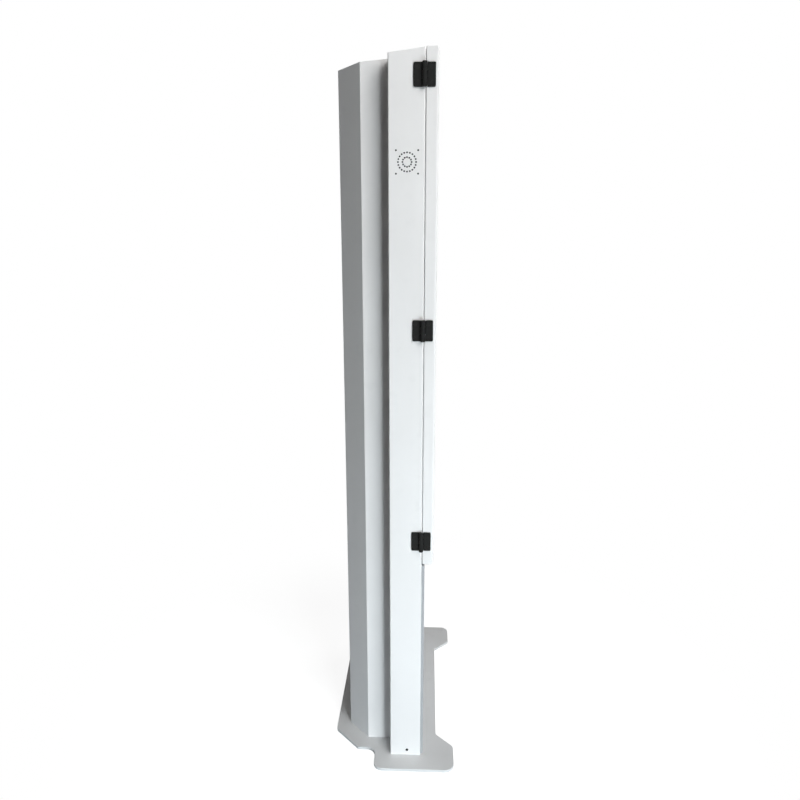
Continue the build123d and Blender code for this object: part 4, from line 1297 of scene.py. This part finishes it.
@dataclass
class Speakers(SubAssembly):
    """A speaker behind each side wall's ring of holes."""

    mouth: float = 0.0227
    roll: float = 0.0031
    cap: float = 0.0090
    depth: float = 0.0078
    paper: float = 0.0006
    rim_depth: float = 0.0014
    roll_height: float = 0.0009
    ridges: int = 5
    ridge_height: float = 0.00012
    cap_height: float = 0.0026
    curve: float = 0.25
    sides: int = 64

    def _front(self) -> np.ndarray:
        """Works out the cone's front as rows of radius and depth inside the wall.

        The surround is half a sine wave, the cone falls on a slight curve with five shallow
        ridges, and the cap is part of a circle.

        Returns:
            Rows of radius and depth, from the rim to the middle.
        """
        out = np.linspace(0.0, 1.0, 13)
        wave = self.rim_depth - self.roll_height * np.sin(np.pi * out)
        surround = np.column_stack([self.mouth - self.roll * out, wave])
        down = np.linspace(0.0, 1.0, 31)[1:]
        inner = self.mouth - self.roll
        slope = (1.0 - self.curve) * down + self.curve * down**2
        ridge = self.ridge_height * np.sin(2.0 * self.ridges * np.pi * down)
        fall = self.rim_depth + self.depth * slope + ridge
        cone = np.column_stack([inner + (self.cap - inner) * down, fall])
        across = np.linspace(1.0, 0.0, 11)[1:]
        swell = self.rim_depth + self.depth - self.cap_height * np.sqrt(1.0 - across**2)
        dome = np.column_stack([self.cap * across, swell])
        return np.vstack([surround, cone, dome])

    def build(self, nodes: Mapping[str, bpy.types.Object]) -> None:
        """Forms both cones, each with a front and a rear skin that meet at the rim.

        Args:
            nodes: Solids of the frame by name.
        """
        front = self._front()
        rear = front[::-1] + [0.0, self.paper]
        skin = np.vstack([front, rear])
        for side, name in ((1, "right"), (-1, "left")):
            low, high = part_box(f"{name}_speaker_frame")
            _, y, z = middle_of(f"{name}_speaker_frame")
            wall = high.x if side > 0 else low.x
            shell = ring(skin * (1.0, -side), Along.X, (wall, y, z), self.sides)
            piece, solid = f"{name}_speaker_paper_cone", f"{name}_speaker_cone"
            self.present(shell, piece, "kiosk", "speaker_paper", solid, crease=60.0)


@dataclass(frozen=True)
class Strip:
    """Soft strip that stands for a solid frame of square section.

    The crown, and the most that the softness may be, are shares of the height; the flat and the
    radius of the turns are shares of half the width.
    """

    node: str
    name: str
    width: float
    softness: float
    crown: float
    most_softness: float = 0.3
    flat: float = 0.45
    turn: float = 1.05


@dataclass
class Door(SubAssembly):
    """Hinged front door: glass with a fired border, display and seal."""

    window_margin: float = 0.0135
    print_thickness: float = 0.00004
    corner: float = 0.0030
    edge_inset: float = 0.0004
    window_corner: float = 0.001
    strips: Tuple[Strip, ...] = (
        Strip("door_seal", "door_seal_sponge", 0.010, 0.0034, 0.45),
        Strip("display_gasket", "display_gasket_foam", 0.008, 0.0020, 0.2),
    )

    def build(self, nodes: Mapping[str, bpy.types.Object]) -> None:
        """Forms the border on the glass, the sponge seal and the display's gasket.

        Args:
            nodes: Solids of the frame by name.
        """
        self._border()
        for strip in self.strips:
            self._strip(strip)

    def _border(self) -> None:
        """Forms the print: a thin ring between the glass's edge and the window."""
        low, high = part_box("door_glass")
        tray_low, tray_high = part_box("display_tray")
        half = (high.x - low.x) / 2
        window = (tray_high.x - tray_low.x) / 2 - self.window_margin
        inset = self.edge_inset
        outer = rounded_loop(half - inset, low.z + inset, high.z - inset, self.corner)
        sill, lintel = tray_low.z + self.window_margin, tray_high.z - self.window_margin
        inner = rounded_loop(window, sill, lintel, self.window_corner)
        front = high.y - 2.0 * self.print_thickness
        rear = front + self.print_thickness
        rows = [
            np.column_stack([loop[:, 0], np.full(len(loop), depth), loop[:, 1]])
            for loop, depth in ((outer, front), (inner, front), (inner, rear), (outer, rear))
        ]
        shell = Shell().add(np.stack(rows), round_rows=True)
        self.present(shell, "door_glass_border", "door", "glass", finish=PRINT)

    def _strip(self, strip: Strip) -> None:
        """Replaces a frame of square section with a soft strip.

        The strip's back is flat on its seat, and its face is crowned: the edge stands lower than
        the middle by a share of the height, and the corners are softened.

        Args:
            strip: Its solid, its name and its section.
        """
        low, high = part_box(strip.node)
        half, tall = (high.x - low.x) / 2, high.y - low.y
        side = strip.width / 2
        flat, shoulder = strip.flat * side, high.y - strip.crown * tall
        corners = [
            (side, low.y), (side, shoulder), (flat, high.y),
            (-flat, high.y), (-side, shoulder), (-side, low.y),
        ]
        outline = softened(corners, min(strip.softness, strip.most_softness * tall))
        loop = rounded_loop(half - side, low.z + side, high.z - side, side * strip.turn, 9)
        shell = Shell().add(strip_along(loop, outline), round_rows=True)
        self.present(shell, strip.name, "door", "rubber", strip.node, SPONGE, 60.0)


@dataclass
class Equipment(SubAssembly):
    """Circuit boards inside the player and the power supply."""

    board: float = 0.0016
    solder_heights: Tuple[Tuple[str, float], ...] = (
        ("media_player_board", 0.0),
        ("power_supply_board", 0.0024),
    )

    def build(self, nodes: Mapping[str, bpy.types.Object]) -> None:
        """Gives each board a finish that knows its face.

        Args:
            nodes: Solids of the frame by name.
        """
        for node, solder in self.solder_heights:
            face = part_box(node)[1].y - solder - self.board
            Board(f"{node}_finish", face).dress(nodes[node])
            LOG.info("%s is dressed as a circuit board", node)


# ---- Floor, lamps and camera --------------------------------------------------------------------
COOL: Colour = (0.84, 0.94, 1.0)


def set_out(data: bpy.types.ID, place: Point, ahead: Vector) -> bpy.types.Object:
    """Puts a lamp or a camera in the scene.

    Args:
        data: Lamp or camera.
        place: Where it stands.
        ahead: Direction that it points in.

    Returns:
        Its object.
    """
    made = bpy.data.objects.new(data.name, data)
    made.location = place
    made.rotation_euler = ahead.to_track_quat("-Z", "Y").to_euler()
    bpy.context.scene.collection.objects.link(made)
    return made


@dataclass(frozen=True)
class Lamp:
    """An area lamp that points at a target."""

    name: str
    place: Point
    target: Point
    size: Tuple[float, float]
    power: float
    colour: Colour = WHITE

    def build(self) -> None:
        """Makes the lamp, which is seen neither by itself nor in glass and metal."""
        data = bpy.data.lights.new(self.name, "AREA")
        data.shape = "RECTANGLE"
        data.size, data.size_y = self.size
        data.energy = self.power
        data.color = self.colour
        lamp = set_out(data, self.place, Vector(self.target) - Vector(self.place))
        lamp.visible_camera = False
        lamp.visible_glossy = False
        lamp.visible_transmission = False


@dataclass(frozen=True)
class FloorFinish(Finish):
    """Matt white floor that shows the kiosk's shadow near its foot and is plain white beyond."""

    colour: Colour = (0.45, 0.45, 0.45)
    glow: float = 0.88
    near: float = 0.5
    far: float = 1.1

    def build(self, tree: Tree) -> None:
        """Mixes the lit floor with a glowing one, for seen rays only, that fades to plain white.

        The fade follows the distance from the kiosk's middle.

        Args:
            tree: Empty tree of the material.
        """
        fade = tree.measure("LENGTH", tree.place).rising(self.near, self.far)
        white = tree.node("ShaderNodeEmission").outputs[0]
        lit = tree.node("ShaderNodeBsdfDiffuse", inputs={"Color": (*self.colour, 1.0)}).outputs[0]
        soft = tree.node("ShaderNodeEmission", inputs={"Strength": self.glow}).outputs[0]
        near = tree.node("ShaderNodeAddShader", inputs={0: lit, 1: soft}).outputs[0]
        shown = tree.mixed(fade, near, white)
        mixed = tree.mixed(tree.seen(), lit, shown)
        tree.node("ShaderNodeOutputMaterial", inputs={"Surface": mixed})


@dataclass
class Studio:
    """White floor, soft lamps and the camera."""

    floor_reach: float = 40.0
    ambient: float = 0.01
    eye: Point = (-1.8679, -0.0849, 1.4155)
    turn: float = 2.346
    fall: float = 13.65
    lens: float = 29.905
    lamps: Tuple[Lamp, ...] = (
        Lamp("low_key", (-1.93, -0.60, 0.10), (-0.28, 0.0, 0.10), (0.3, 0.8), 26.0, COOL),
        Lamp("low_soft", (-1.67, -1.08, 0.10), (-0.28, 0.0, 0.10), (0.75, 0.8), 13.0, COOL),
        Lamp("high_key", (-2.30, -0.735, 2.60), (-0.28, 0.0, 0.75), (0.3, 1.3), 11.0),
        Lamp("high_soft", (-1.97, -1.32, 2.60), (-0.28, 0.0, 0.75), (0.9, 1.3), 28.5),
        Lamp("top_light", (-0.9, -0.9, 3.4), (-0.1, -0.05, 0.0), (1.4, 1.4), 8.0),
        Lamp("front_fill", (1.7, -2.7, 1.3), (0.1, 0.0, 0.95), (1.2, 1.8), 33.0),
        Lamp("far_fill", (2.2, 1.95, 0.09), (0.0, 0.0, 0.8), (1.8, 0.14), 26.0),
        Lamp(
            "low_glow", (-0.70, 0.38, 0.03), (-0.24, 0.05, 0.12), (0.25, 0.06), 0.18, (0.6, 0.8, 1.0)
        ),
    )

    def build(self) -> None:
        """Makes the floor, the surroundings, the lamps and the camera."""
        self._floor()
        self._surroundings()
        for lamp in self.lamps:
            lamp.build()
        self._camera()
        bpy.context.scene.view_settings.view_transform = "Standard"

    def _floor(self) -> None:
        """Lays a flat sheet: a grid of four points."""
        reach = self.floor_reach
        line = np.array([-reach, reach])
        across, along = np.meshgrid(line, line, indexing="ij")
        grid = np.stack([across, along, np.zeros_like(across)], axis=-1)
        floor = Shell().add(grid, round_columns=False).build("studio_floor")
        if floor.data.polygons[0].normal.z < 0:
            floor.data.flip_normals()
        FloorFinish("studio_white").dress(floor)

    def _surroundings(self) -> None:
        """Surrounds the kiosk with dim light, and with plain white where that is seen."""
        world = bpy.data.worlds.new("surroundings")
        bpy.context.scene.world = world
        world.use_nodes = True
        tree = Tree(world.node_tree)
        lights = []
        for strength in (self.ambient, 1.0):
            inputs = {"Color": (*WHITE, 1.0), "Strength": strength}
            lights.append(tree.node("ShaderNodeBackground", inputs=inputs).outputs[0])
        mixed = tree.mixed(tree.seen(), *lights)
        tree.node("ShaderNodeOutputWorld", inputs={"Surface": mixed})

    def _camera(self) -> None:
        """Sets the camera from its place and the way it looks."""
        data = bpy.data.cameras.new("viewpoint")
        data.sensor_width = 36.0
        data.lens = self.lens
        turn, fall = math.radians(self.turn), math.radians(self.fall)
        level = math.cos(fall)
        ahead = Vector((level * math.cos(turn), level * math.sin(turn), -math.sin(fall)))
        bpy.context.scene.camera = set_out(data, self.eye, ahead)


def plain(bounds: Sequence[Sequence[float]]) -> List[List[float]]:
    """Returns a box as plain lists of numbers."""
    return [[float(part) for part in corner] for corner in bounds]


def main() -> None:
    """Loads the frame, dresses every solid, forms the fine pieces and sets the studio."""
    logging.basicConfig(level=logging.INFO, format="%(name)s: %(message)s")
    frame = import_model()
    for part in frame["record"]["subparts"]:
        SLOT_FINISH[part["material_slot"]].dress(frame["nodes"][part["node"]])
    for group in (Cabinet(), Column(), Fans(), Hinges(), Speakers(), Door(), Equipment()):
        group.build(frame["nodes"])
        LOG.info("%s is done", type(group).__name__)
    Studio().build()


if __name__ == "__main__":
    main()
